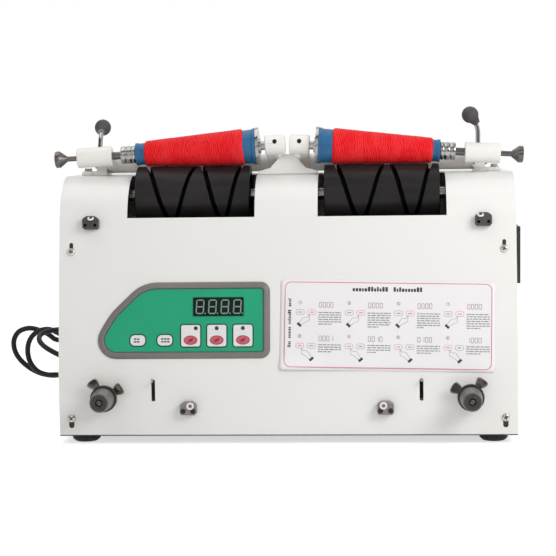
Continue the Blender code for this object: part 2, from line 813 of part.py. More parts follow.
def add_stop_pin(casing, slot_mid):
    """Two tabs behind a slot and the pin between them that carries the stop lever."""
    pin_y = FRONT_Y + STOP_ARM
    half_gap = STOP_BOSS_LENGTH / 2 + RUN_GAP
    for end in (-1, 1):
        faces = sorted((slot_mid + end * half_gap, slot_mid + end * (half_gap + STOP_TAB_THICKNESS)))
        tab = box(
            "stop_tab",
            (faces[0], FRONT_Y + SHEET - UNION_OVERLAP, stop_axis_height() - STOP_BOSS_RADIUS),
            (faces[1], pin_y + STOP_BOSS_RADIUS, stop_axis_height() + STOP_BOSS_RADIUS),
        )
        join(casing, tab)
    reach = half_gap + UNION_OVERLAP
    pin = rod(
        "stop_pin",
        STOP_PIN_RADIUS,
        -reach,
        reach,
        across(slot_mid, pin_y, stop_axis_height()),
        HOLE_SIDES,
    )
    join(casing, pin)


def stop_axis_height():
    return STOP_SLOT_FOOT + STOP_SLOT_LENGTH - STOP_TOP_MARGIN - STOP_WIRE_RADIUS


def make_side_plate(side, name):
    inset = SHEET + SEAT_GAP
    foot = BASE_TOP + SEAT_GAP
    rear = CASING_DEPTH - SHEET - SEAT_GAP
    outline = skin_line(inset, foot) + [(rear, DECK_HEIGHT - inset), (rear, foot)]
    faces = sorted((side * SIDE_PLATE_INNER, side * SIDE_PLATE_OUTER))
    plate = slab(name, [outline], faces[0], faces[1], side_view(0.0, FRONT_Y), "white_paint")
    if side > 0:
        half = VENT_SIZE / 2 - VENT_BORDER
        middle_y = FRONT_Y + VENT_CENTRE_DEPTH
        window = box(
            "vent_window",
            (faces[0] - CUT_OVERRUN, middle_y - half, VENT_CENTRE_HEIGHT - half),
            (faces[1] + CUT_OVERRUN, middle_y + half, VENT_CENTRE_HEIGHT + half),
        )
        cut(plate, window)


def make_shell():
    make_casing()
    make_side_plate(-1, "left_side_plate")
    make_side_plate(1, "right_side_plate")
    foot = BASE_TOP + SEAT_GAP
    box(
        "rear_panel",
        (-HALF_WIDTH, REAR_Y - SHEET, foot),
        (HALF_WIDTH, REAR_Y, DECK_HEIGHT - SHEET - SEAT_GAP),
        "white_paint",
    )
    box(
        "base_plate",
        (-HALF_WIDTH, FRONT_Y, FOOT_HEIGHT),
        (HALF_WIDTH, REAR_Y, BASE_TOP),
        "black_paint",
    )


def make_vent():
    half = VENT_SIZE / 2
    outlines = [rectangle(VENT_SIZE, VENT_SIZE, -half)]
    opening = VENT_SIZE - 2 * VENT_BORDER
    pitch = opening / VENT_SLOT_COUNT
    for index in range(VENT_SLOT_COUNT):
        foot = -opening / 2 + pitch * index + (pitch - VENT_SLOT_WIDTH) / 2
        outlines.append(rectangle(opening, VENT_SLOT_WIDTH, foot))
    frame = side_view(
        SIDE_PLATE_OUTER + SEAT_GAP, FRONT_Y + VENT_CENTRE_DEPTH, VENT_CENTRE_HEIGHT
    )
    slab("vent_guard", outlines, 0.0, VENT_THICKNESS, frame, "black_paint")


def make_feet():
    top = FOOT_HEIGHT - SEAT_GAP
    profile = [
        (0.0, top),
        (FOOT_RADIUS - FOOT_EDGE_ROUND, top),
        (FOOT_RADIUS, top - FOOT_EDGE_ROUND),
        (FOOT_RADIUS, FOOT_EDGE_ROUND),
        (FOOT_TREAD_RADIUS, 0.0),
        (0.0, 0.0),
    ]
    for side, side_name in ((-1, "left"), (1, "right")):
        for y, end_name in (
            (FRONT_Y + FOOT_END_INSET, "front"),
            (REAR_Y - FOOT_END_INSET, "rear"),
        ):
            x = side * (HALF_WIDTH - FOOT_SIDE_INSET)
            name = "foot_" + end_name + "_" + side_name
            turned(name, profile, at(x, y, 0.0), SMALL_SIDES, "black_rubber")


def groove_cutter(name, middle, first_deg, last_deg, width, depth):
    """The ribbon of one pass of the yarn groove, thickened to the groove's width."""
    turns = GROOVE_TURNS * (last_deg - first_deg) / 180.0
    steps = round(GROOVE_STEPS_PER_TURN * turns)
    limit = math.asin(REVERSAL_SHARPNESS_SHARE)
    points = []
    for step in range(steps + 1):
        phase = math.radians(first_deg + (last_deg - first_deg) * step / steps)
        swing = math.asin(REVERSAL_SHARPNESS_SHARE * math.sin(phase)) / limit
        angle = 2 * GROOVE_TURNS * phase + math.radians(
            GROOVE_START_DEG - GROOVE_SWAY_DEG * math.cos(phase)
        )
        for radius in (DRUM_RADIUS - depth, DRUM_RADIUS + CUT_OVERRUN):
            points.append(
                (
                    middle + GROOVE_SHIFT + swing * TRAVERSE / 2,
                    DRUM_Y - radius * math.sin(angle),
                    DRUM_Z + radius * math.cos(angle),
                )
            )
    faces = [(2 * step, 2 * step + 1, 2 * step + 3, 2 * step + 2) for step in range(steps)]
    mesh = bpy.data.meshes.new(name)
    mesh.from_pydata(points, [], faces)
    ribbon = add_object(name, mesh, None)
    solidify = ribbon.modifiers.new("Width", "SOLIDIFY")
    solidify.thickness = width
    solidify.offset = 0.0
    settle(ribbon)
    weld(ribbon.data)
    return ribbon


def make_drum(side, name):
    half = DRUM_LENGTH / 2
    bore = SHAFT_RADIUS + SEAT_GAP
    rim_inner = DRUM_RADIUS - DRUM_RIM
    floor = half - DRUM_RECESS
    profile = [
        (DRUM_RADIUS - DRUM_CHAMFER, half),
        (DRUM_RADIUS, half - DRUM_CHAMFER),
        (DRUM_RADIUS, DRUM_CHAMFER - half),
        (DRUM_RADIUS - DRUM_CHAMFER, -half),
        (rim_inner, -half),
        (rim_inner, -floor),
        (DRUM_HUB_RADIUS, -floor),
        (DRUM_HUB_RADIUS, -half),
        (bore, -half),
        (bore, half),
        (DRUM_HUB_RADIUS, half),
        (DRUM_HUB_RADIUS, floor),
        (rim_inner, floor),
        (rim_inner, half),
    ]
    middle = side * DRUM_MID
    drum = turned(name, profile, across(middle, DRUM_Y, DRUM_Z), DRUM_SIDES, "black_bakelite")
    out_pass = groove_cutter(
        "groove_out", middle, -90.0 - GROOVE_LAP_DEG, 90.0 + GROOVE_LAP_DEG, GROOVE_WIDTH, GROOVE_DEPTH
    )
    cut(drum, out_pass)
    return_laps = (
        (90.0 - GROOVE_LAP_DEG, RETURN_LAP_END_DEG, 0.0),
        (RETURN_LAP_START_DEG, 270.0 + GROOVE_LAP_DEG, RETURN_LAP_STEP),
    )
    for first_deg, last_deg, step in return_laps:
        width = RETURN_GROOVE_WIDTH - step
        depth = RETURN_GROOVE_DEPTH - step / 2
        cut(drum, groove_cutter("groove_back", middle, first_deg, last_deg, width, depth))


def pulley_profile(bore_radius, belt_radius, shaft_half):
    """A lipped pulley in the middle of a shaft, as one turned profile."""
    lip = belt_radius + PULLEY_LIP
    face = PULLEY_WIDTH / 2
    step = face - PULLEY_LIP_WIDTH
    upper = [(0.0, shaft_half), (bore_radius, shaft_half), (bore_radius, face), (lip, face)]
    upper += [(lip, step), (belt_radius, step)]
    lower = [(radius, -height) for radius, height in reversed(upper)]
    return upper + lower


def make_drive():
    shaft_half = SIDE_PLATE_INNER - SEAT_GAP - UNION_OVERLAP
    turned(
        "drum_shaft",
        pulley_profile(SHAFT_RADIUS, DRUM_PULLEY_RADIUS, shaft_half),
        across(0.0, DRUM_Y, DRUM_Z),
        ROUND_SIDES,
        "steel",
    )
    for side, name in ((-1, "left_bearing"), (1, "right_bearing")):
        make_bearing(side, name)
    make_motor()
    drum_place = (DRUM_Y, DRUM_Z)
    motor_place = (MOTOR_Y, MOTOR_Z)
    loops = []
    for lift in (RUN_GAP + BELT_THICKNESS, RUN_GAP):
        loops.append(
            link_outline(
                drum_place,
                DRUM_PULLEY_RADIUS + lift,
                motor_place,
                MOTOR_PULLEY_RADIUS + lift,
                BELT_STEPS,
            )
        )
    half = PULLEY_WIDTH / 2 - PULLEY_LIP_WIDTH - RUN_GAP
    slab("drive_belt", loops, -half, half, side_view(0.0), "black_rubber")


def make_bearing(side, name):
    bore = SHAFT_RADIUS + RUN_GAP
    outer = bore + BEARING_WALL
    nose = bore + BEARING_NOSE_WALL
    profile = [
        (nose, BEARING_THICKNESS + BEARING_NOSE),
        (nose, BEARING_THICKNESS),
        (outer, BEARING_THICKNESS),
        (outer, 0.0),
        (bore, 0.0),
        (bore, BEARING_THICKNESS + BEARING_NOSE),
    ]
    turn = Euler((0.0, -side * QUARTER_TURN, 0.0)).to_matrix().to_4x4()
    frame = at(side * (SIDE_PLATE_INNER - SEAT_GAP), DRUM_Y, DRUM_Z) @ turn
    turned(name, profile, frame, ROUND_SIDES, "steel")


def make_motor():
    frame = across(0.0, MOTOR_Y, MOTOR_Z)
    face = PULLEY_WIDTH / 2 + MOTOR_PULLEY_GAP
    body = rod("motor", MOTOR_RADIUS, face, face + MOTOR_LENGTH, frame, LARGE_SIDES, "dark_steel")
    foot_z = BASE_TOP + SEAT_GAP
    middle_x = face + MOTOR_LENGTH / 2
    neck = box(
        "motor_neck",
        (middle_x - MOTOR_FOOT_LENGTH / 2, MOTOR_Y - MOTOR_NECK_WIDTH / 2, foot_z + UNION_OVERLAP),
        (middle_x + MOTOR_FOOT_LENGTH / 2, MOTOR_Y + MOTOR_NECK_WIDTH / 2, MOTOR_Z),
    )
    plate = box(
        "motor_foot",
        (
            middle_x - MOTOR_FOOT_LENGTH / 2 - UNION_OVERLAP,
            MOTOR_Y - MOTOR_FOOT_WIDTH / 2,
            foot_z,
        ),
        (
            middle_x + MOTOR_FOOT_LENGTH / 2 + UNION_OVERLAP,
            MOTOR_Y + MOTOR_FOOT_WIDTH / 2,
            foot_z + MOTOR_FOOT_THICKNESS,
        ),
    )
    join(body, neck)
    join(body, plate)
    bore = rod(
        "motor_bore",
        MOTOR_SHAFT_RADIUS + RUN_GAP,
        face - CUT_OVERRUN,
        face + MOTOR_SHAFT_LENGTH,
        frame,
        HOLE_SIDES,
    )
    cut(body, bore)
    tip = face + MOTOR_SHAFT_LENGTH - RUN_GAP
    lip = MOTOR_PULLEY_RADIUS + PULLEY_LIP
    half = PULLEY_WIDTH / 2
    step = half - PULLEY_LIP_WIDTH
    profile = [
        (0.0, tip),
        (MOTOR_SHAFT_RADIUS, tip),
        (MOTOR_SHAFT_RADIUS, half),
        (lip, half),
        (lip, step),
        (MOTOR_PULLEY_RADIUS, step),
        (MOTOR_PULLEY_RADIUS, -step),
        (lip, -step),
        (lip, -half),
        (0.0, -half),
    ]
    turned("motor_pulley", profile, frame, ROUND_SIDES, "steel")


def make_cradle(side, name):
    """Pivot sleeve, two link arms and the two spindle heads, as one casting."""
    pivot = (PIVOT_Y, PIVOT_Z)
    sleeve_ends = sorted((side * SLEEVE_INNER, side * SLEEVE_OUTER))
    frame = across(0.0, PIVOT_Y, PIVOT_Z)
    cradle = rod(name, SLEEVE_RADIUS, sleeve_ends[0], sleeve_ends[1], frame, ROUND_SIDES, "white_paint")
    heads = (
        (INNER_ARM_MID, -INNER_HEAD_END, -INNER_HEAD_FACE),
        (OUTER_ARM_MID, OUTER_HEAD_FACE, OUTER_HEAD_END),
    )
    for arm_mid, start, end in heads:
        axis_z = SPINDLE_Z - (arm_mid - SPINDLE_MID) * math.tan(TAPER)
        outline = link_outline(
            pivot,
            SLEEVE_RADIUS - UNION_OVERLAP,
            (DRUM_Y, axis_z),
            HEAD_RADIUS - 2 * UNION_OVERLAP,
            ARM_STEPS,
        )
        arm = slab(
            "cradle_arm",
            [outline],
            -ARM_THICKNESS / 2,
            ARM_THICKNESS / 2,
            side_view(side * arm_mid),
            edge=ARM_EDGE_ROUND,
        )
        join(cradle, arm)
        profile = [
            (0.0, end),
            (HEAD_RADIUS - HEAD_CHAMFER, end),
            (HEAD_RADIUS, end - HEAD_CHAMFER),
            (HEAD_RADIUS, start + HEAD_CHAMFER),
            (HEAD_RADIUS - HEAD_CHAMFER, start),
            (0.0, start),
        ]
        head = turned("cradle_head", profile, spindle_frame(side), LARGE_SIDES)
        join(cradle, head)
    bore = rod(
        "pivot_bore",
        PIVOT_ROD_RADIUS + RUN_GAP,
        sleeve_ends[0] - CUT_OVERRUN,
        sleeve_ends[1] + CUT_OVERRUN,
        frame,
        HOLE_SIDES,
    )
    cut(cradle, bore)
    cut_head_holes(cradle, side)
    place_origin(cradle, at(side * INNER_ARM_MID, PIVOT_Y, PIVOT_Z))


def cut_head_holes(cradle, side):
    axis = spindle_frame(side)
    plunger_hole = rod(
        "plunger_hole",
        PLUNGER_RADIUS + RUN_GAP,
        OUTER_HEAD_FACE - CUT_OVERRUN,
        OUTER_HEAD_END + CUT_OVERRUN,
        axis,
        HOLE_SIDES,
    )
    cut(cradle, plunger_hole)
    spindle_hole = rod(
        "spindle_hole",
        SPINDLE_RADIUS + RUN_GAP,
        -INNER_HEAD_FACE - SPINDLE_SOCKET - RUN_GAP,
        CUT_OVERRUN - INNER_HEAD_FACE,
        axis,
        HOLE_SIDES,
    )
    cut(cradle, spindle_hole)
    screw_at = spindle_frame(side, -(INNER_HEAD_FACE + INNER_HEAD_END) / 2).translation
    screw_hole = rod(
        "set_screw_hole",
        SET_SCREW_RADIUS,
        HEAD_RADIUS - SET_SCREW_DEPTH,
        HEAD_RADIUS + CUT_OVERRUN,
        front_view(screw_at.x, screw_at.y, screw_at.z + SET_SCREW_RISE),
        HOLE_SIDES,
    )
    cut(cradle, screw_hole)
    lever_hole = rod(
        "lever_hole",
        LEVER_RADIUS + RUN_GAP,
        HEAD_RADIUS - LEVER_SEAT_DEPTH - RUN_GAP,
        HEAD_RADIUS + CUT_OVERRUN,
        lever_frame(side),
        HOLE_SIDES,
    )
    cut(cradle, lever_hole)


def lever_frame(side):
    """The frame at the outer head's axis whose Z is the lever's stem; the left one leans back."""
    foot = spindle_frame(side, OUTER_HEAD_FACE + LEVER_FROM_HEAD_FACE).translation
    lean_deg = LEVER_LEANS_DEG[side]
    turn = Euler((math.radians(lean_deg), 0.0, 0.0)).to_matrix().to_4x4()
    return Matrix.Translation(foot) @ turn


def make_lever(side, name):
    """A bent stem with a ball; the right ball hangs inboard and the left one to the rear."""
    start = HEAD_RADIUS - LEVER_SEAT_DEPTH
    bend_height = HEAD_RADIUS + LEVER_UPRIGHT
    points = [(0.0, start), (0.0, bend_height)]
    for step in range(1, LEVER_STEPS + 1):
        share = step / LEVER_STEPS
        points.append((LEVER_OFFSET * share * share, bend_height + LEVER_BEND * share))
    frame = lever_frame(side)
    heading = Vector((-1.0, 0.0, 0.0)) if side > 0 else Vector((0.0, 1.0, 0.0))
    places = [heading * out + Vector((0.0, 0.0, up)) for out, up in points]
    lever = tube(name, places, LEVER_RADIUS, "chrome", 3)
    lever.matrix_world = frame
    turn = (places[-2] - places[-1]).to_track_quat("Z", "Y").to_matrix().to_4x4()
    meets = math.radians(BALL_NECK_MEETS_DEG)
    profile = [(0.0, BALL_NECK_REACH), (BALL_NECK_RADIUS, BALL_NECK_REACH)]
    for step in range(LEVER_STEPS + 1):
        angle = meets + (math.pi - meets) * step / LEVER_STEPS
        profile.append((BALL_RADIUS * math.sin(angle), BALL_RADIUS * math.cos(angle)))
    profile[-1] = (0.0, -BALL_RADIUS)
    ball = turned("lever_ball", profile, frame @ Matrix.Translation(places[-1]) @ turn, SMALL_SIDES)
    join(lever, ball)


def make_spindle_parts(side, prefix):
    axis = spindle_frame(side)
    cone_outer_big = CONE_MID_RADIUS + CONE_END * math.tan(TAPER)

    def cone_radius(along):
        return CONE_MID_RADIUS - along * math.tan(TAPER)

    bead_end = CONE_END - CONE_BEAD_LENGTH
    small_rim = cone_radius(CONE_END) + CONE_BEAD_HEIGHT
    big_rim = cone_outer_big + CONE_BEAD_HEIGHT
    profile = [
        (small_rim, CONE_END),
        (small_rim, bead_end),
        (cone_radius(bead_end), bead_end - CONE_BEAD_HEIGHT),
        (cone_radius(-bead_end), CONE_BEAD_HEIGHT - bead_end),
        (big_rim, -bead_end),
        (big_rim, -CONE_END),
        (cone_outer_big - CONE_WALL, -CONE_END),
        (cone_radius(CONE_END) - CONE_WALL, CONE_END),
    ]
    turned(prefix + "cone", profile, axis, CONE_SIDES, "cone_blue")

    yarn_small_end = CONE_END - YARN_END_MARGIN
    yarn_big_end = YARN_TAIL_MARGIN - CONE_END
    shoulder = YARN_THICKNESS - YARN_SHOULDER
    profile = [
        (cone_radius(yarn_small_end) + shoulder, yarn_small_end),
        (cone_radius(yarn_small_end) + YARN_THICKNESS, yarn_small_end - YARN_SHOULDER),
        (cone_radius(yarn_big_end) + YARN_THICKNESS, yarn_big_end + YARN_SHOULDER),
        (cone_radius(yarn_big_end) + shoulder, yarn_big_end),
        (cone_radius(yarn_big_end) + SEAT_GAP, yarn_big_end),
        (cone_radius(yarn_small_end) + SEAT_GAP, yarn_small_end),
    ]
    turned(prefix + "yarn", profile, axis, CONE_SIDES, "yarn_red")

    plug_radius = cone_radius(-CONE_END) - CONE_WALL - SEAT_GAP
    plug_end = -CONE_END + BIG_PLUG_LENGTH
    disc_back = -BIG_DISC_FACE - BIG_DISC_THICKNESS
    spindle_end = -INNER_HEAD_FACE - SPINDLE_SOCKET
    profile = [
        (0.0, plug_end),
        (plug_radius - BIG_PLUG_LENGTH * math.tan(TAPER), plug_end),
        (plug_radius, -CONE_END),
        (plug_radius, -BIG_DISC_FACE),
        (BIG_DISC_RADIUS, -BIG_DISC_FACE),
        (BIG_DISC_RADIUS, disc_back),
        (BIG_HUB_RADIUS, disc_back),
        (BIG_HUB_RADIUS, disc_back - BIG_HUB_LENGTH),
        (SPINDLE_RADIUS, disc_back - BIG_HUB_LENGTH),
        (SPINDLE_RADIUS, spindle_end),
        (0.0, spindle_end),
    ]
    turned(prefix + "big_adaptor", profile, axis, ROUND_SIDES, "chrome")
    make_small_adaptor(axis, prefix)
    make_plunger(axis, prefix)


def make_small_adaptor(axis, prefix):
    """Three rings with two grooves between them, and a nose inside the cone's small end."""
    face = CONE_END + SEAT_GAP
    nose_end = CONE_END - SMALL_ADAPTOR_NOSE
    nose_radius = CONE_SMALL_RADIUS - CONE_WALL - SEAT_GAP
    ring = SMALL_ADAPTOR_LENGTH / (2 * ADAPTOR_RINGS - 1)
    waist = SMALL_ADAPTOR_RADIUS - SMALL_ADAPTOR_GROOVE
    bore = PLUNGER_RADIUS + RUN_GAP
    bore_floor = SMALL_ADAPTOR_END - ADAPTOR_BORE_DEPTH
    profile = [(0.0, bore_floor), (bore, bore_floor), (bore, SMALL_ADAPTOR_END)]
    for index in range(ADAPTOR_RINGS):
        ring_top = SMALL_ADAPTOR_END - 2 * ring * index
        profile += [(SMALL_ADAPTOR_RADIUS, ring_top), (SMALL_ADAPTOR_RADIUS, ring_top - ring)]
        if index < ADAPTOR_RINGS - 1:
            profile += [(waist, ring_top - ring), (waist, ring_top - 2 * ring)]
    profile += [
        (nose_radius, face),
        (nose_radius * ADAPTOR_NOSE_TIP_SHARE, nose_end),
        (0.0, nose_end),
    ]
    turned(prefix + "small_adaptor", profile, axis, SMALL_SIDES, "chrome")


def make_plunger(axis, prefix):
    rod_end = SMALL_ADAPTOR_END - ADAPTOR_BORE_DEPTH + RUN_GAP
    neck_end = KNOB_START + KNOB_NECK_LENGTH
    rim_start = neck_end + KNOB_FLARE_LENGTH
    profile = [
        (0.0, KNOB_TIP),
        (KNOB_RIM_RADIUS - HEAD_CHAMFER, KNOB_TIP),
        (KNOB_RIM_RADIUS, KNOB_TIP - HEAD_CHAMFER),
        (KNOB_RIM_RADIUS, rim_start),
        (KNOB_NECK_RADIUS, neck_end),
        (KNOB_NECK_RADIUS, KNOB_START),
        (PLUNGER_RADIUS, KNOB_START),
        (PLUNGER_RADIUS, rod_end),
        (0.0, rod_end),
    ]
    turned(prefix + "plunger", profile, axis, SMALL_SIDES, "chrome")


def make_outer_pedestal(side, name):
    deck = DECK_HEIGHT + SEAT_GAP
    faces = sorted((side * PEDESTAL_INNER, side * PEDESTAL_OUTER))
    half_depth = PEDESTAL_BASE_DEPTH / 2
    pedestal = box(
        name,
        (faces[0], PIVOT_Y - half_depth, deck),
        (faces[1], PIVOT_Y + half_depth, deck + PEDESTAL_BASE_THICKNESS),
        "white_paint",
    )
    outline = arc((PIVOT_Y, PIVOT_Z), PEDESTAL_HEAD_RADIUS, 0.0, math.pi, 2 * ARM_STEPS)
    outline += [
        (PIVOT_Y - PEDESTAL_HEAD_RADIUS, deck + UNION_OVERLAP),
        (PIVOT_Y + PEDESTAL_HEAD_RADIUS, deck + UNION_OVERLAP),
    ]
    upright = slab(
        "pedestal_upright",
        [outline],
        faces[0] + PEDESTAL_STEP,
        faces[1] - PEDESTAL_STEP,
        side_view(0.0),
    )
    join(pedestal, upright)
    cut_pivot_bore(pedestal, faces[0], faces[1])


def cut_pivot_bore(pedestal, start, end):
    bore = rod(
        "pedestal_bore",
        PIVOT_ROD_RADIUS + SEAT_GAP,
        start - CUT_OVERRUN,
        end + CUT_OVERRUN,
        across(0.0, PIVOT_Y, PIVOT_Z),
        HOLE_SIDES,
    )
    cut(pedestal, bore)


def make_centre_pedestal():
    """A bell-shaped plate in front, and a rib that runs back to the pivot boss."""
    deck = DECK_HEIGHT + SEAT_GAP
    right = [
        (BELL_BASE_HALF_WIDTH, 0.0),
        (BELL_BASE_HALF_WIDTH, BELL_BASE_HEIGHT),
        (BELL_SHOULDER_HALF_WIDTH, BELL_SHOULDER_HEIGHT),
        (BELL_NECK_HALF_WIDTH, BELL_HEIGHT),
    ]
    left = [(-x, height) for x, height in reversed(right)]
    back_y = DRUM_Y + BELL_FROM_DRUM_AXIS + BELL_THICKNESS
    pedestal = slab(
        "centre_pedestal",
        [right + left],
        0.0,
        BELL_THICKNESS,
        front_view(0.0, back_y, deck),
        "white_paint",
    )
    rib_half = BELL_NECK_HALF_WIDTH - UNION_OVERLAP
    rib = box(
        "pedestal_rib",
        (-rib_half, back_y - UNION_OVERLAP, deck + UNION_OVERLAP),
        (rib_half, PIVOT_Y, PIVOT_Z + rib_half),
    )
    join(pedestal, rib)
    boss_half = SLEEVE_INNER - 2 * RUN_GAP
    boss = rod(
        "pedestal_boss", SLEEVE_RADIUS, -boss_half, boss_half, across(0.0, PIVOT_Y, PIVOT_Z), ROUND_SIDES
    )
    join(pedestal, boss)
    cut_pivot_bore(pedestal, -boss_half, boss_half)


def make_pivot():
    make_centre_pedestal()
    make_outer_pedestal(-1, "left_pedestal")
    make_outer_pedestal(1, "right_pedestal")
    reach = PEDESTAL_OUTER + PIVOT_ROD_END
    rod("pivot_rod", PIVOT_ROD_RADIUS, -reach, reach, across(0.0, PIVOT_Y, PIVOT_Z), SMALL_SIDES, "steel")


def panel_frame(right_offset, up):
    """A frame on the leaning face, placed from the panel's lower right corner."""
    foot = FOLD_HEIGHT + PANEL_ABOVE_FOLD * math.cos(LEAN)
    return on_front(PANEL_RIGHT, foot) @ at(right_offset, up, 0.0)


def shifted(outline, x, y):
    return [(point[0] + x, point[1] + y) for point in outline]


def make_panel():
    corners = [(0.0, 0.0), (0.0, PANEL_HEIGHT)]
    for across_share, up_share in PANEL_SIDE_SHARES:
        corners.append((-across_share * PANEL_WIDTH, up_share * PANEL_HEIGHT))
    radii = [PANEL_CORNER, PANEL_CORNER, PANEL_TOP_BEND, PANEL_SIDE_BEND, PANEL_FOOT_BEND]
    inner_radii = [max(radius - BEZEL_BORDER, KEY_CORNER) for radius in radii]
    outer = rounded(corners, radii, PANEL_CORNER_STEPS)
    inner = rounded(inset_corners(corners, BEZEL_BORDER), inner_radii, PANEL_CORNER_STEPS)
    frame = panel_frame(0.0, 0.0)
    slab("control_bezel", [outer, inner], SEAT_GAP, SEAT_GAP + BEZEL_THICKNESS, frame, "bezel_grey")
    face = rounded(
        inset_corners(corners, BEZEL_BORDER + SEAT_GAP), inner_radii, PANEL_CORNER_STEPS
    )
    display_x = -DISPLAY_RIGHT - DISPLAY_WIDTH / 2
    display_foot = PANEL_HEIGHT - DISPLAY_TOP - DISPLAY_HEIGHT
    gap = SEAT_GAP
    window = rectangle(DISPLAY_WIDTH + 2 * gap, DISPLAY_HEIGHT + 2 * gap, display_foot - gap)
    holes = [shifted(window, display_x, 0.0)]
    for x, foot, width, height, corner in key_places():
        hole = key_outline(width + 2 * RUN_GAP, height + 2 * RUN_GAP, corner + RUN_GAP)
        holes.append(shifted(hole, x, foot + height / 2))
    slab("control_panel", [face] + holes, gap, gap + PANEL_THICKNESS, frame, "panel_green")
    slab(
        "display_window",
        [shifted(rectangle(DISPLAY_WIDTH, DISPLAY_HEIGHT, display_foot), display_x, 0.0)],
        gap,
        gap + PANEL_THICKNESS + DISPLAY_PROUD,
        frame,
        "display_black",
    )
    key_back = SEAT_GAP + KEY_TRAVEL + RUN_GAP
    key_front = SEAT_GAP + PANEL_THICKNESS + KEY_PROUD
    for index, (x, foot, width, height, corner) in enumerate(key_places()):
        slab(
            "key_" + str(index + 1),
            [key_outline(width, height, corner)],
            key_back,
            key_front,
            panel_frame(x, foot + height / 2),
            "key_white",
        )


def key_outline(width, height, corner):
    return rounded(rectangle(width, height, -height / 2), [corner] * 4, 3)


def key_places():
    """Middle, foot, width, height and corner of each key, from the left."""
    places = []
    for index in range(PILL_KEY_COUNT):
        share = PILL_FIRST_SHARE + PILL_PITCH_SHARE * index - 1.0
        width = PILL_WIDTH_SHARE * PANEL_WIDTH
        places.append((share * PANEL_WIDTH, PILL_FOOT, width, PILL_HEIGHT, PILL_CORNER))
    for index in reversed(range(RECTANGLE_KEY_COUNT)):
        share = -KEY_RIGHT_SHARE - KEY_WIDTH_SHARE / 2 - KEY_PITCH_SHARE * index
        width = KEY_WIDTH_SHARE * PANEL_WIDTH
        places.append((share * PANEL_WIDTH, KEY_FOOT, width, KEY_HEIGHT, KEY_CORNER))
    return places


def make_guide(name, frame):
    half_width = GUIDE_WIDTH / 2
    half_height = GUIDE_HEIGHT / 2
    corners = [
        (-half_width, -half_height),
        (half_width, -half_height),
        (half_width, half_height - GUIDE_CREST),
        (half_width / 2, half_height),
        (-half_width / 2, half_height),
        (-half_width, half_height - GUIDE_CREST),
    ]
    outline = rounded(corners, [GUIDE_CORNER] * 6, 1)
    guide = slab(name, [outline], SEAT_GAP, GUIDE_REACH, frame, "grey_plastic", GUIDE_EDGE)
    for side in (-1, 1):
        hole = rod(
            "guide_hole",
            GUIDE_HOLE_RADIUS,
            GUIDE_REACH - GUIDE_HOLE_DEPTH,
            GUIDE_REACH + CUT_OVERRUN,
            frame @ at(side * GUIDE_HOLE_SPACING / 2, GUIDE_HOLE_FOOT - half_height, 0.0),
            HOLE_SIDES,
        )
        cut(guide, hole)


def make_guides():
    for side, side_name in ((-1, "left"), (1, "right")):
        upper_x = side * (HALF_WIDTH - UPPER_GUIDE_SIDE_INSET)
        upper = on_front(upper_x, DECK_HEIGHT - UPPER_GUIDE_BELOW_DECK)
        make_guide(side_name + "_upper_guide", upper)
        lower_x = side * (HALF_WIDTH - LOWER_GUIDE_SIDE_INSET)
        make_guide(side_name + "_lower_guide", on_front(lower_x, LOWER_GUIDE_HEIGHT))


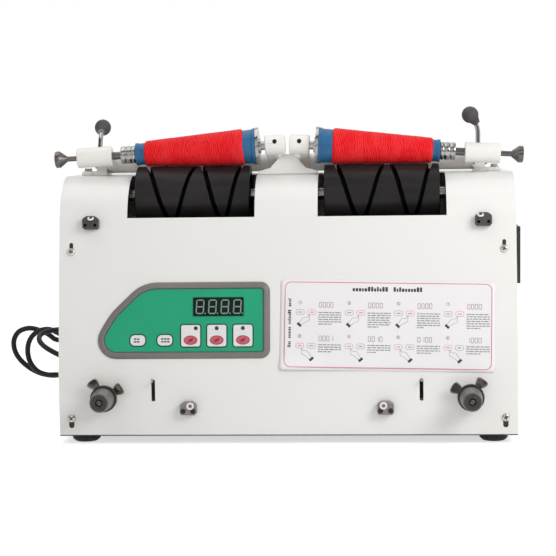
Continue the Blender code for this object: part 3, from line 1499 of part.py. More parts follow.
def make_tensioner(side, side_name):
    """Post with its eared plate, the pair of discs on it and the tapered knob in front."""
    frame = on_front(side * (HALF_WIDTH - TENSION_SIDE_INSET), TENSION_HEIGHT)
    plate_back = SEAT_GAP + TENSION_BASE_LENGTH
    plate_front = plate_back + TENSION_PLATE_THICKNESS
    disc_back = plate_front + RUN_GAP
    disc_front = disc_back + DISC_STACK
    knob_back = disc_front + RUN_GAP
    post_tip = knob_back + KNOB_BORE_DEPTH - RUN_GAP
    profile = [
        (0.0, post_tip),
        (TENSION_POST_RADIUS, post_tip),
        (TENSION_POST_RADIUS, plate_front),
        (TENSION_PLATE_RADIUS, plate_front),
        (TENSION_PLATE_RADIUS, plate_back),
        (TENSION_BASE_RADIUS, plate_back),
        (TENSION_BASE_RADIUS, SEAT_GAP),
        (0.0, SEAT_GAP),
    ]
    post = turned(side_name + "_tension_post", profile, frame, SMALL_SIDES, "steel")
    for angle_deg in TENSION_EAR_ANGLES_DEG:
        angle = math.radians(angle_deg if side < 0 else 180.0 - angle_deg)
        start = TENSION_PLATE_RADIUS - 2 * UNION_OVERLAP
        reach = TENSION_PLATE_RADIUS + TENSION_EAR_LENGTH - start
        outline = rounded(
            rectangle(TENSION_EAR_WIDTH, reach, start),
            [UNION_OVERLAP, UNION_OVERLAP, TENSION_EAR_WIDTH / 4, TENSION_EAR_WIDTH / 4],
            3,
        )
        ear = slab(
            "tension_ear",
            [outline],
            plate_back + SEAT_GAP,
            plate_front - SEAT_GAP,
            frame @ Euler((0.0, 0.0, angle - QUARTER_TURN)).to_matrix().to_4x4(),
        )
        join(post, ear)

    bore = TENSION_POST_RADIUS + RUN_GAP
    profile = [
        (DISC_RADIUS, disc_front),
        (DISC_RADIUS, disc_front - DISC_LIP),
        (DISC_WAIST_RADIUS, (disc_front + disc_back) / 2),
        (DISC_RADIUS, disc_back + DISC_LIP),
        (DISC_RADIUS, disc_back),
        (bore, disc_back),
        (bore, disc_front),
    ]
    turned(side_name + "_tension_discs", profile, frame, ROUND_SIDES, "dark_steel")

    knob_front = knob_back + KNOB_LENGTH
    profile = [
        (0.0, knob_front - KNOB_RECESS_DEPTH),
        (KNOB_RECESS_RADIUS, knob_front - KNOB_RECESS_DEPTH),
        (KNOB_RECESS_RADIUS, knob_front),
        (KNOB_FRONT_RADIUS - KNOB_EDGE, knob_front),
        (KNOB_FRONT_RADIUS, knob_front - KNOB_EDGE),
        (KNOB_BACK_RADIUS, knob_back + KNOB_EDGE),
        (KNOB_BACK_RADIUS - KNOB_EDGE, knob_back),
        (bore, knob_back),
        (bore, knob_back + KNOB_BORE_DEPTH),
        (0.0, knob_back + KNOB_BORE_DEPTH),
    ]
    turned(side_name + "_tension_knob", profile, frame, ROUND_SIDES, "grey_plastic")


def make_stop_lever(side, name):
    """A wire through the casing's slot, on a boss that turns on the pin behind it."""
    x = side * (HALF_WIDTH - STOP_SLOT_SIDE_INSET)
    pin_y = FRONT_Y + STOP_ARM
    height = stop_axis_height()
    half = STOP_BOSS_LENGTH / 2
    bore = STOP_PIN_RADIUS + RUN_GAP
    profile = [(STOP_BOSS_RADIUS, half), (STOP_BOSS_RADIUS, -half), (bore, -half), (bore, half)]
    lever = turned(name, profile, across(x, pin_y, height), HOLE_SIDES, "chrome")
    tip_y = FRONT_Y - STOP_REACH
    places = [
        (x, pin_y - STOP_BOSS_RADIUS + UNION_OVERLAP, height),
        (x, tip_y + STOP_HOOK_RISE, height),
        (x, tip_y + STOP_WIRE_RADIUS, height + STOP_WIRE_RADIUS),
        (x, tip_y, height + STOP_HOOK_RISE),
    ]
    wire = tube("stop_wire", places, STOP_WIRE_RADIUS)
    join(lever, wire)
    place_origin(lever, at(x, pin_y, height))


def make_lead():
    """Gland, free stretch, floor coil and plug of the mains lead."""
    gland_x = GLAND_SIDE_INSET - HALF_WIDTH
    turn = Euler((-QUARTER_TURN, 0.0, 0.0)).to_matrix().to_4x4()
    gland_end = SEAT_GAP + GLAND_LENGTH
    flange_end = SEAT_GAP + GLAND_FLANGE
    bore = CORD_RADIUS + RUN_GAP
    profile = [
        (0.0, gland_end - GLAND_BORE_DEPTH),
        (bore, gland_end - GLAND_BORE_DEPTH),
        (bore, gland_end),
        (GLAND_TAIL_RADIUS, gland_end),
        (GLAND_RADIUS, flange_end + GLAND_SHOULDER),
        (GLAND_RADIUS, flange_end),
        (GLAND_FLANGE_RADIUS, flange_end),
        (GLAND_FLANGE_RADIUS, SEAT_GAP),
        (0.0, SEAT_GAP),
    ]
    turned("cord_gland", profile, at(gland_x, REAR_Y, GLAND_HEIGHT) @ turn, SMALL_SIDES, "black_rubber")
    route = [Vector((x, REAR_Y + back, height)) for x, back, height in CORD_ROUTE]
    tube("cord", route, CORD_RADIUS, "black_rubber", CORD_SIDES_RESOLUTION)
    coil = coil_points(route[-1], (route[-1] - route[-2]).normalized())
    tube("cord_coil", coil, CORD_RADIUS, "black_rubber", 1)
    print("least gap of the coil to itself, mm:", round(1000 * least_gap(coil), 2))
    print("length of the lead, m:", round(path_length(route) + path_length(coil), 2))
    make_plug(coil[-1])


def coil_points(start, heading):
    """One turn inward on the floor, then one outward on top of it, and the tail to the plug."""
    points = [start + heading * SEAT_GAP, start + heading * 2 * CORD_RADIUS]
    floor = CORD_RADIUS + SEAT_GAP
    middle = Vector((-COIL_LEFT_OF_MIDDLE, REAR_Y + COIL_BEHIND_REAR, floor))
    half_span = COIL_PITCH * COIL_TURNS_PER_LAYER / 2
    entry = middle - Vector((0.0, COIL_MEAN_RADIUS + half_span, 0.0))
    for share in COIL_LEAD_IN_SHARES:
        points.append(points[1].lerp(entry, share))
    steps = COIL_STEPS_PER_TURN * COIL_TURNS_PER_LAYER
    climb = COIL_STEPS_PER_TURN * COIL_CLIMB_SHARE
    for step in range(2 * steps + 1):
        angle = 2 * math.pi * step / COIL_STEPS_PER_TURN - QUARTER_TURN
        if step <= steps:
            radius = COIL_MEAN_RADIUS + half_span - 2 * half_span * step / steps
            rise = 0.0
        else:
            risen = min((step - steps) / climb, 1.0)
            rise = COIL_LAYER_RISE * risen * risen * (3.0 - 2.0 * risen)
            outward = max(step - steps - climb, 0.0) / (steps - climb)
            radius = COIL_MEAN_RADIUS - half_span + 2 * half_span * outward
        points.append(middle + Vector((radius * math.cos(angle), radius * math.sin(angle), rise)))
    plug_height = PLUG_BODY_RADIUS + SEAT_GAP
    top = points[-1]
    for share in COIL_TAIL_SHARES:
        rise = (plug_height - top.z) * share
        points.append(top + Vector((COIL_TAIL * share, 0.0, rise)))
    points.append(points[-1] + Vector((PLUG_BORE_DEPTH, 0.0, 0.0)))
    return points


def least_gap(points):
    """The least clear distance between two strands of one tube."""
    count = len(points)
    lengths = [0.0]
    for index in range(1, count):
        lengths.append(lengths[-1] + (points[index] - points[index - 1]).length)
    samples = []
    for index in range(count - 1):
        for part in range(4):
            share = part / 4
            place = points[index].lerp(points[index + 1], share)
            along = lengths[index] + share * (lengths[index + 1] - lengths[index])
            samples.append((place.x, place.y, place.z, along))
    table = numpy.array(samples)
    spread = table[:, None, :3] - table[None, :, :3]
    distance = numpy.sqrt((spread ** 2).sum(axis=2))
    apart = numpy.abs(table[:, None, 3] - table[None, :, 3])
    return float(distance[apart > NEAR_STRAND_SHARE * CORD_RADIUS].min()) - 2 * CORD_RADIUS


def path_length(points):
    return sum((points[index] - points[index - 1]).length for index in range(1, len(points)))


def make_plug(tail_end):
    start = tail_end.x - PLUG_BORE_DEPTH + RUN_GAP
    frame = across(start, tail_end.y, tail_end.z)
    body_start = PLUG_TAIL_LENGTH
    body_end = body_start + PLUG_BODY_LENGTH
    bore = CORD_RADIUS + RUN_GAP
    profile = [
        (0.0, body_end),
        (PLUG_BODY_RADIUS - PLUG_EDGE, body_end),
        (PLUG_BODY_RADIUS, body_end - PLUG_EDGE),
        (PLUG_BODY_RADIUS, body_start + PLUG_EDGE),
        (PLUG_BODY_RADIUS - PLUG_EDGE, body_start),
        (PLUG_NECK_RADIUS, body_start - PLUG_EDGE),
        (PLUG_NECK_RADIUS, 0.0),
        (bore, 0.0),
        (bore, PLUG_BORE_DEPTH),
        (0.0, PLUG_BORE_DEPTH),
    ]
    plug = turned("plug", profile, frame, SMALL_SIDES, "black_rubber")
    for side in (-1, 1):
        pin = rod(
            "plug_pin",
            PLUG_PIN_RADIUS,
            body_end - UNION_OVERLAP,
            body_end + PLUG_PIN_LENGTH,
            frame @ at(0.0, side * PLUG_PIN_SPACING / 2, 0.0),
            HOLE_SIDES,
        )
        join(plug, pin)


def make_machine():
    make_shell()
    make_vent()
    make_feet()
    make_drive()
    make_pivot()
    make_panel()
    make_guides()
    for side, side_name in ((-1, "left"), (1, "right")):
        make_drum(side, side_name + "_drum")
        make_cradle(side, side_name + "_cradle_frame")
        make_lever(side, side_name + "_lever")
        make_spindle_parts(side, side_name + "_")
        make_tensioner(side, side_name)
        make_stop_lever(side, side_name + "_stop_lever")
    make_lead()


clear_scene()
PARTS = new_collection("cone_winding_machine")
CUTTERS = new_collection("cutters")
make_machine()
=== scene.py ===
"""Dressed scene of the bench-top cone winding machine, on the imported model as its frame.

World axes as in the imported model, in metres: X right, Y away from the camera, Z up.
"""
import math
import random
from collections import namedtuple

import bmesh
import bpy
import numpy as np
from mathutils import Matrix, Vector


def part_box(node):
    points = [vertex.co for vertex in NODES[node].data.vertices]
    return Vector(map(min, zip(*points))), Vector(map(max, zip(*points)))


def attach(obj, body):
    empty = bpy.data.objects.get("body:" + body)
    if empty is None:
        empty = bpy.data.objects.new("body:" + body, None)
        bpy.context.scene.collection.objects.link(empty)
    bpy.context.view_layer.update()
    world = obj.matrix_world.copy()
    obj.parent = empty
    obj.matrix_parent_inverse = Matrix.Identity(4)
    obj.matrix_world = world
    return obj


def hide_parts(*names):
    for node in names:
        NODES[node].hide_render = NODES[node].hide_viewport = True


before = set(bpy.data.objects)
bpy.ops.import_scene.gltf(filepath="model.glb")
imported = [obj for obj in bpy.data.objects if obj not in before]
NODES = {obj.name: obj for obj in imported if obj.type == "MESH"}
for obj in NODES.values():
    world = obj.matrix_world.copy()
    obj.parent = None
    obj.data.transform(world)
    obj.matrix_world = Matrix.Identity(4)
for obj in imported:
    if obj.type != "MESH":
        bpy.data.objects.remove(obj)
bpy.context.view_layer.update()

# Places and sizes as in the source of the solids
PREFIXES = ("left_", "right_")
SIDES = tuple(zip((-1, 1), PREFIXES))
FRONT_Y = -0.12195
REAR_Y = 0.17805
FOLD_Z = 0.098
DRUM_Y, DRUM_Z, DRUM_MID = -0.0299, 0.340, 0.131985
DRUM_GROOVE_RADIUS, DRUM_GROOVE_REACH = 0.0403, 0.0785
SPINDLE_MID, SPINDLE_Y, SPINDLE_Z = 0.128985, -0.02990, 0.403118
PIVOT_Y = 0.0341
TENSION_X, TENSION_Z = 0.249985, 0.0668
BALLS = {"left_": (-0.26677, 0.0039, 0.4370), "right_": (0.2560, -0.0299, 0.4479)}
BALL_REACH = 0.0162
SET_SCREW_X, SET_SCREW_RISE, SET_SCREW_REACH = 0.01711, 0.0050, 0.0034
GUIDE_HOLE_ASIDE, GUIDE_HOLE_UP, GUIDE_HOLE_REACH = 0.00675, 0.0050, 0.0024
# KNOB_FACE: depth of the knob's front faces that get painted shade
KNOB_FACE, KNOB_RIM, KNOB_RECESS, KNOB_RECESS_RADIUS = 0.0004, 0.0001, 0.0036, 0.0057
DISC_LIP_RADIUS = 0.0177
WELD_REACH, TURNED_MERGE = 0.000002, 1e-7
TURNED_SHARP_DEG, MOULDED_SHARP_DEG = 38.0, 50.0
LEAN = math.radians(9.0)
TAPER = math.radians(3.2)
ACROSS = Vector((1.0, 0.0, 0.0))
UP = Vector((0.0, math.sin(LEAN), math.cos(LEAN)))
OUT = Vector((0.0, -math.cos(LEAN), math.sin(LEAN)))
FRONT = Vector((0.0, -1.0, 0.0))
FOLD = Vector((0.0, FRONT_Y, FOLD_Z))
Face = namedtuple("Face", "x up lift width height")

# Camera fitted to the photograph, lights with place, target, size, power and colour, and dark flags
YAW, PITCH, ROLL = 0.0607, 0.0874, -0.0128
CAMERA_PLACE = (0.1242, -2.3292, 0.4230)
FOCAL_PIXELS, PICTURE_PIXELS, SENSOR_WIDTH = 1630.6, 556, 36.0
LIGHTS = (
    ("key", (1.15, -1.15, 1.05), (0.05, -0.1, 0.22), (0.9, 0.8), 15.0, (1.0, 0.995, 0.98)),
    ("top", (-0.35, 0.1, 1.9), (0.05, 0.0, 0.2), (1.8, 1.2), 8.0, (1.0, 1.0, 1.0)),
    ("front", (-0.5, -2.6, 0.9), (0.0, 0.0, 0.2), (1.6, 1.0), 6.0, (1.0, 1.0, 1.0)),
)
FLAGS = (
    ("flag_behind_camera", (0.0, -4.5, 0.9), 9.0, 2.4, 0.05),
    ("flag_above", (0.0, -1.9, 2.9), 6.0, 0.9, 0.05),
    ("flag_left", (-3.2, 0.4, 1.2), 0.8, 2.2, 0.05),
    ("flag_right", (3.4, 0.6, 1.0), 0.8, 2.2, 0.05),
)
STAGE_MIDDLE = Vector((0.0, 0.0, 0.3))
WHITE = (1.0, 1.0, 1.0, 1.0)
AMBIENT_COLOUR, AMBIENT_STRENGTH = (1.0, 0.99, 0.975, 1.0), 0.50
FLOOR_REACH, FLOOR_SHADE, FLOOR_GLOW = 12.0, 0.84, 0.62


def linked(name, data):
    """A new object in the scene."""
    made = bpy.data.objects.new(name, data)
    bpy.context.scene.collection.objects.link(made)
    return made


# Camera, light and floor

def make_camera():
    """The camera as fitted to the photograph."""
    data = bpy.data.cameras.new("camera")
    camera = linked("camera", data)
    ahead = Vector((-math.sin(YAW) * math.cos(PITCH), math.cos(YAW) * math.cos(PITCH), -math.sin(PITCH)))
    right = Vector((math.cos(YAW), math.sin(YAW), 0.0))
    top = right.cross(ahead)
    tilted_right = right * math.cos(ROLL) + top * math.sin(ROLL)
    tilted_top = top * math.cos(ROLL) - right * math.sin(ROLL)
    turn = Matrix((tilted_right, tilted_top, -ahead)).transposed().to_4x4()
    camera.matrix_world = Matrix.Translation(CAMERA_PLACE) @ turn
    data.sensor_width = SENSOR_WIDTH
    data.lens = FOCAL_PIXELS / PICTURE_PIXELS * SENSOR_WIDTH
    data.clip_start = 0.1
    data.clip_end = 60.0
    bpy.context.scene.camera = camera


def area_light(name, place, target, size, power, colour):
    """A soft light that looks at its target."""
    data = bpy.data.lights.new(name, "AREA")
    data.shape = "RECTANGLE"
    data.size, data.size_y = size
    data.energy = power
    data.color = colour
    light = linked(name, data)
    light.location = place
    light.rotation_mode = "QUATERNION"
    light.rotation_quaternion = (Vector(target) - Vector(place)).to_track_quat("-Z", "Y")


def make_world():
    """Pure white where the background shows, and a softer ambient light elsewhere."""
    world = bpy.data.worlds.new("studio")
    bpy.context.scene.world = world
    world.use_nodes = True
    tree = world.node_tree
    tree.nodes.clear()
    ambient = node(tree, "ShaderNodeBackground", {"Color": AMBIENT_COLOUR, "Strength": AMBIENT_STRENGTH})
    shown = node(tree, "ShaderNodeBackground", {"Color": WHITE, "Strength": 1.0})
    mixed = node(tree, "ShaderNodeMixShader", {0: light_path_share(tree), 1: ambient, 2: shown})
    node(tree, "ShaderNodeOutputWorld", {0: mixed})


def larger(tree, first, second):
    return node(tree, "ShaderNodeMath", {0: first, 1: second}, operation="MAXIMUM")


def light_path_share(tree):
    """1 for rays that show the background: camera, glossy and transmission rays."""
    rays = tree.nodes.new("ShaderNodeLightPath").outputs
    seen = larger(tree, rays["Is Camera Ray"], rays["Is Glossy Ray"])
    return larger(tree, seen, rays["Is Transmission Ray"])


def flat_square(name, half_width, half_height):
    mesh = bpy.data.meshes.new(name)
    corners = [(x * half_width, y * half_height, 0.0) for x, y in ((-1, -1), (1, -1), (1, 1), (-1, 1))]
    mesh.from_pydata(corners, [], [(0, 1, 2, 3)])
    return linked(name, mesh)


def bare_material(name):
    """A material without any node."""
    material = bpy.data.materials.new(name)
    material.use_nodes = True
    material.node_tree.nodes.clear()
    return material, material.node_tree


def make_floor():
    """A plain floor that keeps the shadow and shows white elsewhere."""
    floor = flat_square("floor", FLOOR_REACH, FLOOR_REACH)
    material, tree = bare_material("floor_white")
    share = light_path_share(tree)
    strength = node(tree, "ShaderNodeMath", {0: share, 1: FLOOR_GLOW}, operation="MULTIPLY")
    glow = node(tree, "ShaderNodeEmission", {"Color": WHITE, "Strength": strength})
    diffuse = node(tree, "ShaderNodeBsdfDiffuse", {"Color": (FLOOR_SHADE, FLOOR_SHADE, FLOOR_SHADE, 1.0)})
    node(tree, "ShaderNodeOutputMaterial", {0: node(tree, "ShaderNodeAddShader", {0: diffuse, 1: glow})})
    floor.data.materials.append(material)


def make_flag(name, place, width, height, shade):
    """A dark studio flag that only reflections show."""
    flag = flat_square(name, width / 2, height / 2)
    turn = (STAGE_MIDDLE - Vector(place)).to_track_quat("Z", "Y").to_matrix().to_4x4()
    flag.matrix_world = Matrix.Translation(place) @ turn
    material, tree = bare_material(name)
    glow = node(tree, "ShaderNodeEmission", {"Color": (shade, shade, shade, 1.0)})
    node(tree, "ShaderNodeOutputMaterial", {0: glow})
    flag.data.materials.append(material)
    for rays in ("camera", "diffuse", "shadow", "transmission"):
        setattr(flag, "visible_" + rays, False)


def make_stage():
    """Camera, ambient light, floor, lights and flags."""
    make_camera()
    make_world()
    make_floor()
    for light in LIGHTS:
        area_light(*light)
    for flag in FLAGS:
        make_flag(*flag)
    bpy.context.scene.view_settings.view_transform = "Standard"


# Materials

NOISE_ROUGHNESS, NOISE_LOW, NOISE_HIGH = 0.55, 0.35, 0.65
MOTTLE_LIFT, GLOSS_FINER, COAT_ROUGHNESS, GRAIN_DEPTH = 0.6, 6.0, 0.12, 0.0004


def new_material(name):
    material = bpy.data.materials.new(name)
    material.use_nodes = True
    return material, material.node_tree, material.node_tree.nodes["Principled BSDF"]


def node(tree, kind, inputs, output=0, **settings):
    """A new node's output; its inputs are values or other nodes' outputs, by name or number."""
    made = tree.nodes.new(kind)
    for name, value in settings.items():
        setattr(made, name, value)
    for key, value in inputs.items():
        if isinstance(value, bpy.types.NodeSocket):
            tree.links.new(value, made.inputs[key])
        else:
            made.inputs[key].default_value = value
    return made.outputs[output] if made.outputs else None


def coordinates(tree, stretch=(1.0, 1.0, 1.0)):
    """Object coordinates, stretched."""
    place = node(tree, "ShaderNodeTexCoord", {}, "Object")
    return node(tree, "ShaderNodeMapping", {"Vector": place, "Scale": stretch})


def noise(tree, place, scale, detail):
    settings = {"Vector": place, "Scale": scale, "Detail": detail, "Roughness": NOISE_ROUGHNESS}
    return node(tree, "ShaderNodeTexNoise", settings)


def mapped(tree, value, low, high):
    """A noise's usual range, spread over another range."""
    ends = {"From Min": NOISE_LOW, "From Max": NOISE_HIGH, "To Min": low, "To Max": high}
    return node(tree, "ShaderNodeMapRange", {"Value": value, **ends})


def blended(tree, share, first, second):
    """Mixes two colours, each a colour or a socket, by a share."""
    return node(tree, "ShaderNodeMix", {"Factor": share, 6: first, 7: second}, 2, data_type="RGBA")


def bump(tree, shader, height, strength, distance):
    normal = node(tree, "ShaderNodeBump", {"Strength": strength, "Distance": distance, "Height": height})
    tree.links.new(normal, shader.inputs["Normal"])


def scaled(colour, factor):
    return (*[min(1.0, channel * factor) for channel in colour], 1.0)


def finish_material(
    name, colour, rough, mottle, mottle_scale, grain, relief,
    metal=0.0, stretch=(1.0, 1.0, 1.0), coat=0.0, specular=0.5, spread=0.06,
):
    """A moulded, painted or metal surface with uneven colour and gloss and a fine grain."""
    material, tree, shader = new_material(name)
    place = coordinates(tree, stretch)
    patches = mapped(tree, noise(tree, place, mottle_scale, 4.0), 0.0, 1.0)
    uneven = blended(tree, patches, scaled(colour, 1.0 - mottle), scaled(colour, 1.0 + mottle * MOTTLE_LIFT))
    gloss = mapped(tree, noise(tree, place, mottle_scale * GLOSS_FINER, 5.0), rough - spread, rough + spread)
    tree.links.new(uneven, shader.inputs["Base Color"])
    tree.links.new(gloss, shader.inputs["Roughness"])
    bump(tree, shader, noise(tree, place, grain, 2.0), relief, GRAIN_DEPTH)
    for key, value in (
        ("Metallic", metal), ("Specular IOR Level", specular), ("Coat Weight", coat),
        ("Coat Roughness", COAT_ROUGHNESS),
    ):
        shader.inputs[key].default_value = value
    return material


# Name, colour, roughness, mottle and its scale, grain, relief, and what differs from the usual
LOOK_ROWS = (
    ("powder_white", (0.80, 0.795, 0.775), 0.36, 0.02, 3.0, 1400.0, 0.10, {"coat": 0.05}),
    ("cast_white", (0.83, 0.81, 0.785), 0.34, 0.04, 16.0, 700.0, 0.18, {}),
    ("base_black", (0.022, 0.022, 0.023), 0.42, 0.25, 20.0, 1100.0, 0.15, {}),
    ("foot_rubber", (0.018, 0.018, 0.019), 0.72, 0.3, 60.0, 900.0, 0.3, {}),
    ("lead_rubber", (0.0120, 0.0105, 0.0115), 0.50, 0.3, 40.0, 1500.0, 0.2, {"specular": 0.28}),
    ("drum_black", (0.0190, 0.0175, 0.0172), 0.42, 0.35, 30.0, 1300.0, 0.10,
     {"stretch": (0.3, 1.0, 1.0), "specular": 0.15}),
    ("guide_black", (0.055, 0.050, 0.047), 0.42, 0.2, 50.0, 900.0, 0.2, {"specular": 0.4}),
    # This row is a darker copy of the next row's knob plastic: painted shade on the knob's front face
    ("knob_face", (0.040, 0.036, 0.035), 0.36, 0.25, 90.0, 900.0, 0.15, {"specular": 0.4}),
    ("knob_side", (0.150, 0.148, 0.145), 0.38, 0.12, 50.0, 1100.0, 0.15, {"specular": 0.4}),
    ("ring_black", (0.016, 0.014, 0.013), 0.34, 0.3, 80.0, 900.0, 0.12, {"specular": 0.5}),
    # Painted shade in the drum grooves: the drum's black made darker still
    ("groove_black", (0.0012, 0.0011, 0.0011), 0.6, 0.3, 30.0, 1300.0, 0.10, {"specular": 0.05}),
    ("chrome", (0.32, 0.312, 0.308), 0.17, 0.10, 25.0, 1200.0, 0.04, {"metal": 1.0, "spread": 0.05}),
    ("turned_steel", (0.33, 0.322, 0.318), 0.20, 0.12, 25.0, 1400.0, 0.06,
     {"metal": 1.0, "stretch": (4.0, 1.0, 1.0), "spread": 0.05}),
    ("brushed_steel", (0.40, 0.39, 0.375), 0.30, 0.14, 30.0, 1600.0, 0.08,
     {"metal": 1.0, "stretch": (1.0, 6.0, 6.0), "spread": 0.08}),
    ("dark_steel", (0.135, 0.122, 0.115), 0.30, 0.25, 60.0, 1200.0, 0.08, {"metal": 1.0}),
    ("ear_steel", (0.235, 0.205, 0.190), 0.27, 0.30, 120.0, 1200.0, 0.10, {"metal": 1.0}),
    ("ball_knob", (0.072, 0.065, 0.067), 0.50, 0.2, 60.0, 1300.0, 0.15, {"specular": 0.22}),
    ("grey_plastic", (0.230, 0.220, 0.214), 0.42, 0.14, 40.0, 1000.0, 0.15, {"specular": 0.35}),
    ("bezel_grey", (0.182, 0.163, 0.155), 0.40, 0.08, 12.0, 1500.0, 0.14, {"specular": 0.4}),
    ("panel_green", (0.020, 0.352, 0.188), 0.42, 0.05, 9.0, 1700.0, 0.05, {"specular": 0.14}),
    ("display_glass", (0.0005, 0.0210, 0.0145), 0.16, 0.3, 30.0, 300.0, 0.01, {"specular": 0.06}),
    ("key_white", (0.72, 0.725, 0.73), 0.38, 0.03, 60.0, 1500.0, 0.08, {}),
    ("cone_blue", (0.028, 0.130, 0.280), 0.36, 0.14, 40.0, 900.0, 0.10, {"specular": 0.25}),
    ("motor_grey", (0.22, 0.23, 0.24), 0.45, 0.12, 20.0, 700.0, 0.2, {}),
    ("belt_black", (0.025, 0.024, 0.022), 0.75, 0.3, 60.0, 600.0, 0.3, {}),
    ("ceramic_pink", (0.86, 0.72, 0.74), 0.16, 0.05, 90.0, 900.0, 0.02, {"coat": 0.5}),
    ("screw_steel", (0.50, 0.48, 0.45), 0.26, 0.25, 160.0, 1500.0, 0.08, {"metal": 1.0}),
    # Painted shade in holes, slots and recesses; also the black oxide of the lower guides' socket screws
    ("recess_dark", (0.012, 0.010, 0.009), 0.6, 0.3, 80.0, 900.0, 0.1, {}),
    ("label_paper", (0.81, 0.80, 0.81), 0.40, 0.015, 14.0, 1900.0, 0.05, {"coat": 0.08}),
    ("ink_pink", (0.62, 0.155, 0.27), 0.45, 0.10, 90.0, 1800.0, 0.02, {}),
    ("ink_grey", (0.25, 0.25, 0.265), 0.45, 0.15, 90.0, 1800.0, 0.02, {}),
    ("ink_black", (0.035, 0.033, 0.035), 0.45, 0.2, 90.0, 1800.0, 0.02, {}),
    ("segment_grey", (0.235, 0.245, 0.225), 0.35, 0.08, 90.0, 1800.0, 0.02, {}),
    ("outline_green", (0.005, 0.032, 0.020), 0.45, 0.1, 90.0, 1800.0, 0.02, {"specular": 0.2}),
    ("key_pink", (0.56, 0.085, 0.125), 0.36, 0.08, 120.0, 1500.0, 0.04, {}),
    ("key_red", (0.20, 0.012, 0.022), 0.40, 0.12, 120.0, 1500.0, 0.04, {}),
    ("lamp_dark", (0.010, 0.010, 0.011), 0.22, 0.3, 90.0, 1200.0, 0.03, {"coat": 0.3}),
)


def make_materials():
    """Every look of the table by its name."""
    return {row[0]: finish_material(*row[:-1], **row[-1]) for row in LOOK_ROWS}


PAIRED_NODES = {
    "side_plate": "powder_white", "drum": "drum_black", "bearing": "cast_white", "pedestal": "cast_white",
    "cradle_frame": "cast_white", "plunger": "dark_steel", "small_adaptor": "turned_steel",
    "big_adaptor": "turned_steel", "cone": "cone_blue", "lever": "chrome", "upper_guide": "guide_black",
    "lower_guide": "grey_plastic", "tension_post": "dark_steel", "tension_discs": "ring_black",
    "tension_knob": "knob_side", "stop_lever": "chrome",
}
SINGLE_NODES = {
    "front_casing": "powder_white", "rear_panel": "powder_white", "base_plate": "base_black",
    "foot_front_left": "foot_rubber", "foot_front_right": "foot_rubber", "foot_rear_left": "foot_rubber",
    "foot_rear_right": "foot_rubber", "vent_guard": "base_black", "drum_shaft": "brushed_steel",
    "motor": "motor_grey", "motor_pulley": "brushed_steel", "drive_belt": "belt_black",
    "pivot_rod": "chrome", "centre_pedestal": "cast_white", "control_bezel": "bezel_grey",
    "control_panel": "panel_green", "display_window": "display_glass", "cord_gland": "foot_rubber",
    "plug": "lead_rubber",
}
KEYS = tuple("key_" + str(index) for index in range(1, 6))
ROUNDED_EDGES = {"rear_panel": 0.0006, "base_plate": 0.0005, **{key: 0.0005 for key in KEYS}}
SMOOTH_UNDER_DEG, ROUND_OVER_DEG = 32.0, 40.0


def dress_nodes():
    """Gives every node its look and even shading."""
    looks = {**SINGLE_NODES, **{key: "key_white" for key in KEYS}}
    for prefix in PREFIXES:
        looks.update({prefix + name: look for name, look in PAIRED_NODES.items()})
    for name, look in looks.items():
        data = NODES[name].data
        data.materials.clear()
        data.materials.append(LOOKS[look])
        even_shading(NODES[name])


def even_shading(piece):
    """Rounded surfaces shade evenly over their facets, and steeper edges stay sharp."""
    stored = piece.data.attributes.get("custom_normal")
    if stored is not None:
        piece.data.attributes.remove(stored)
    for face in piece.data.polygons:
        face.use_smooth = True
    piece.modifiers.new("weld", "WELD").merge_threshold = WELD_REACH
    if piece.name in ROUNDED_EDGES:
        bevel = piece.modifiers.new("rounded", "BEVEL")
        bevel.width = ROUNDED_EDGES[piece.name]
        bevel.segments = 5
        bevel.limit_method = "ANGLE"
        bevel.angle_limit = math.radians(ROUND_OVER_DEG)
    piece.modifiers.new("sharp", "EDGE_SPLIT").split_angle = math.radians(SMOOTH_UNDER_DEG)
    piece.modifiers.new("weighted", "WEIGHTED_NORMAL").keep_sharp = True


def mark_faces(name, look, chosen):
    """Gives the node's faces whose middle passes the test a second look."""
    data = NODES[name].data
    data.materials.append(LOOKS[look])
    index = len(data.materials) - 1
    for face in data.polygons:
        if chosen(face.center):
            face.material_index = index


def off_axis(point, x, z):
    """Distance from an axis that runs from front to back."""
    return math.hypot(point.x - x, point.z - z)


def in_drum_groove(point, side):
    radius = math.hypot(point.y - DRUM_Y, point.z - DRUM_Z)
    return radius < DRUM_GROOVE_RADIUS and abs(point.x - side * DRUM_MID) < DRUM_GROOVE_REACH


def in_knob_recess(point, front, x):
    deep = front + KNOB_RIM < point.y < front + KNOB_RECESS
    return deep and off_axis(point, x, TENSION_Z) < KNOB_RECESS_RADIUS


def in_guide_hole(point, face):
    """Whether a face's middle lies in one of a guide's two screw holes."""
    place = point - FOLD
    aside = abs(point.x - face.x) - GUIDE_HOLE_ASIDE
    rise = place.dot(UP) - face.up + face.height / 2 - GUIDE_HOLE_UP
    return math.hypot(aside, rise) < GUIDE_HOLE_REACH and place.dot(OUT) <= face.lift - 0.0001


def in_set_screw(point, side):
    x = side * SET_SCREW_X
    z = SPINDLE_Z + (SPINDLE_MID - SET_SCREW_X) * math.tan(TAPER) + SET_SCREW_RISE
    return off_axis(point, x, z) < SET_SCREW_REACH and point.y < SPINDLE_Y


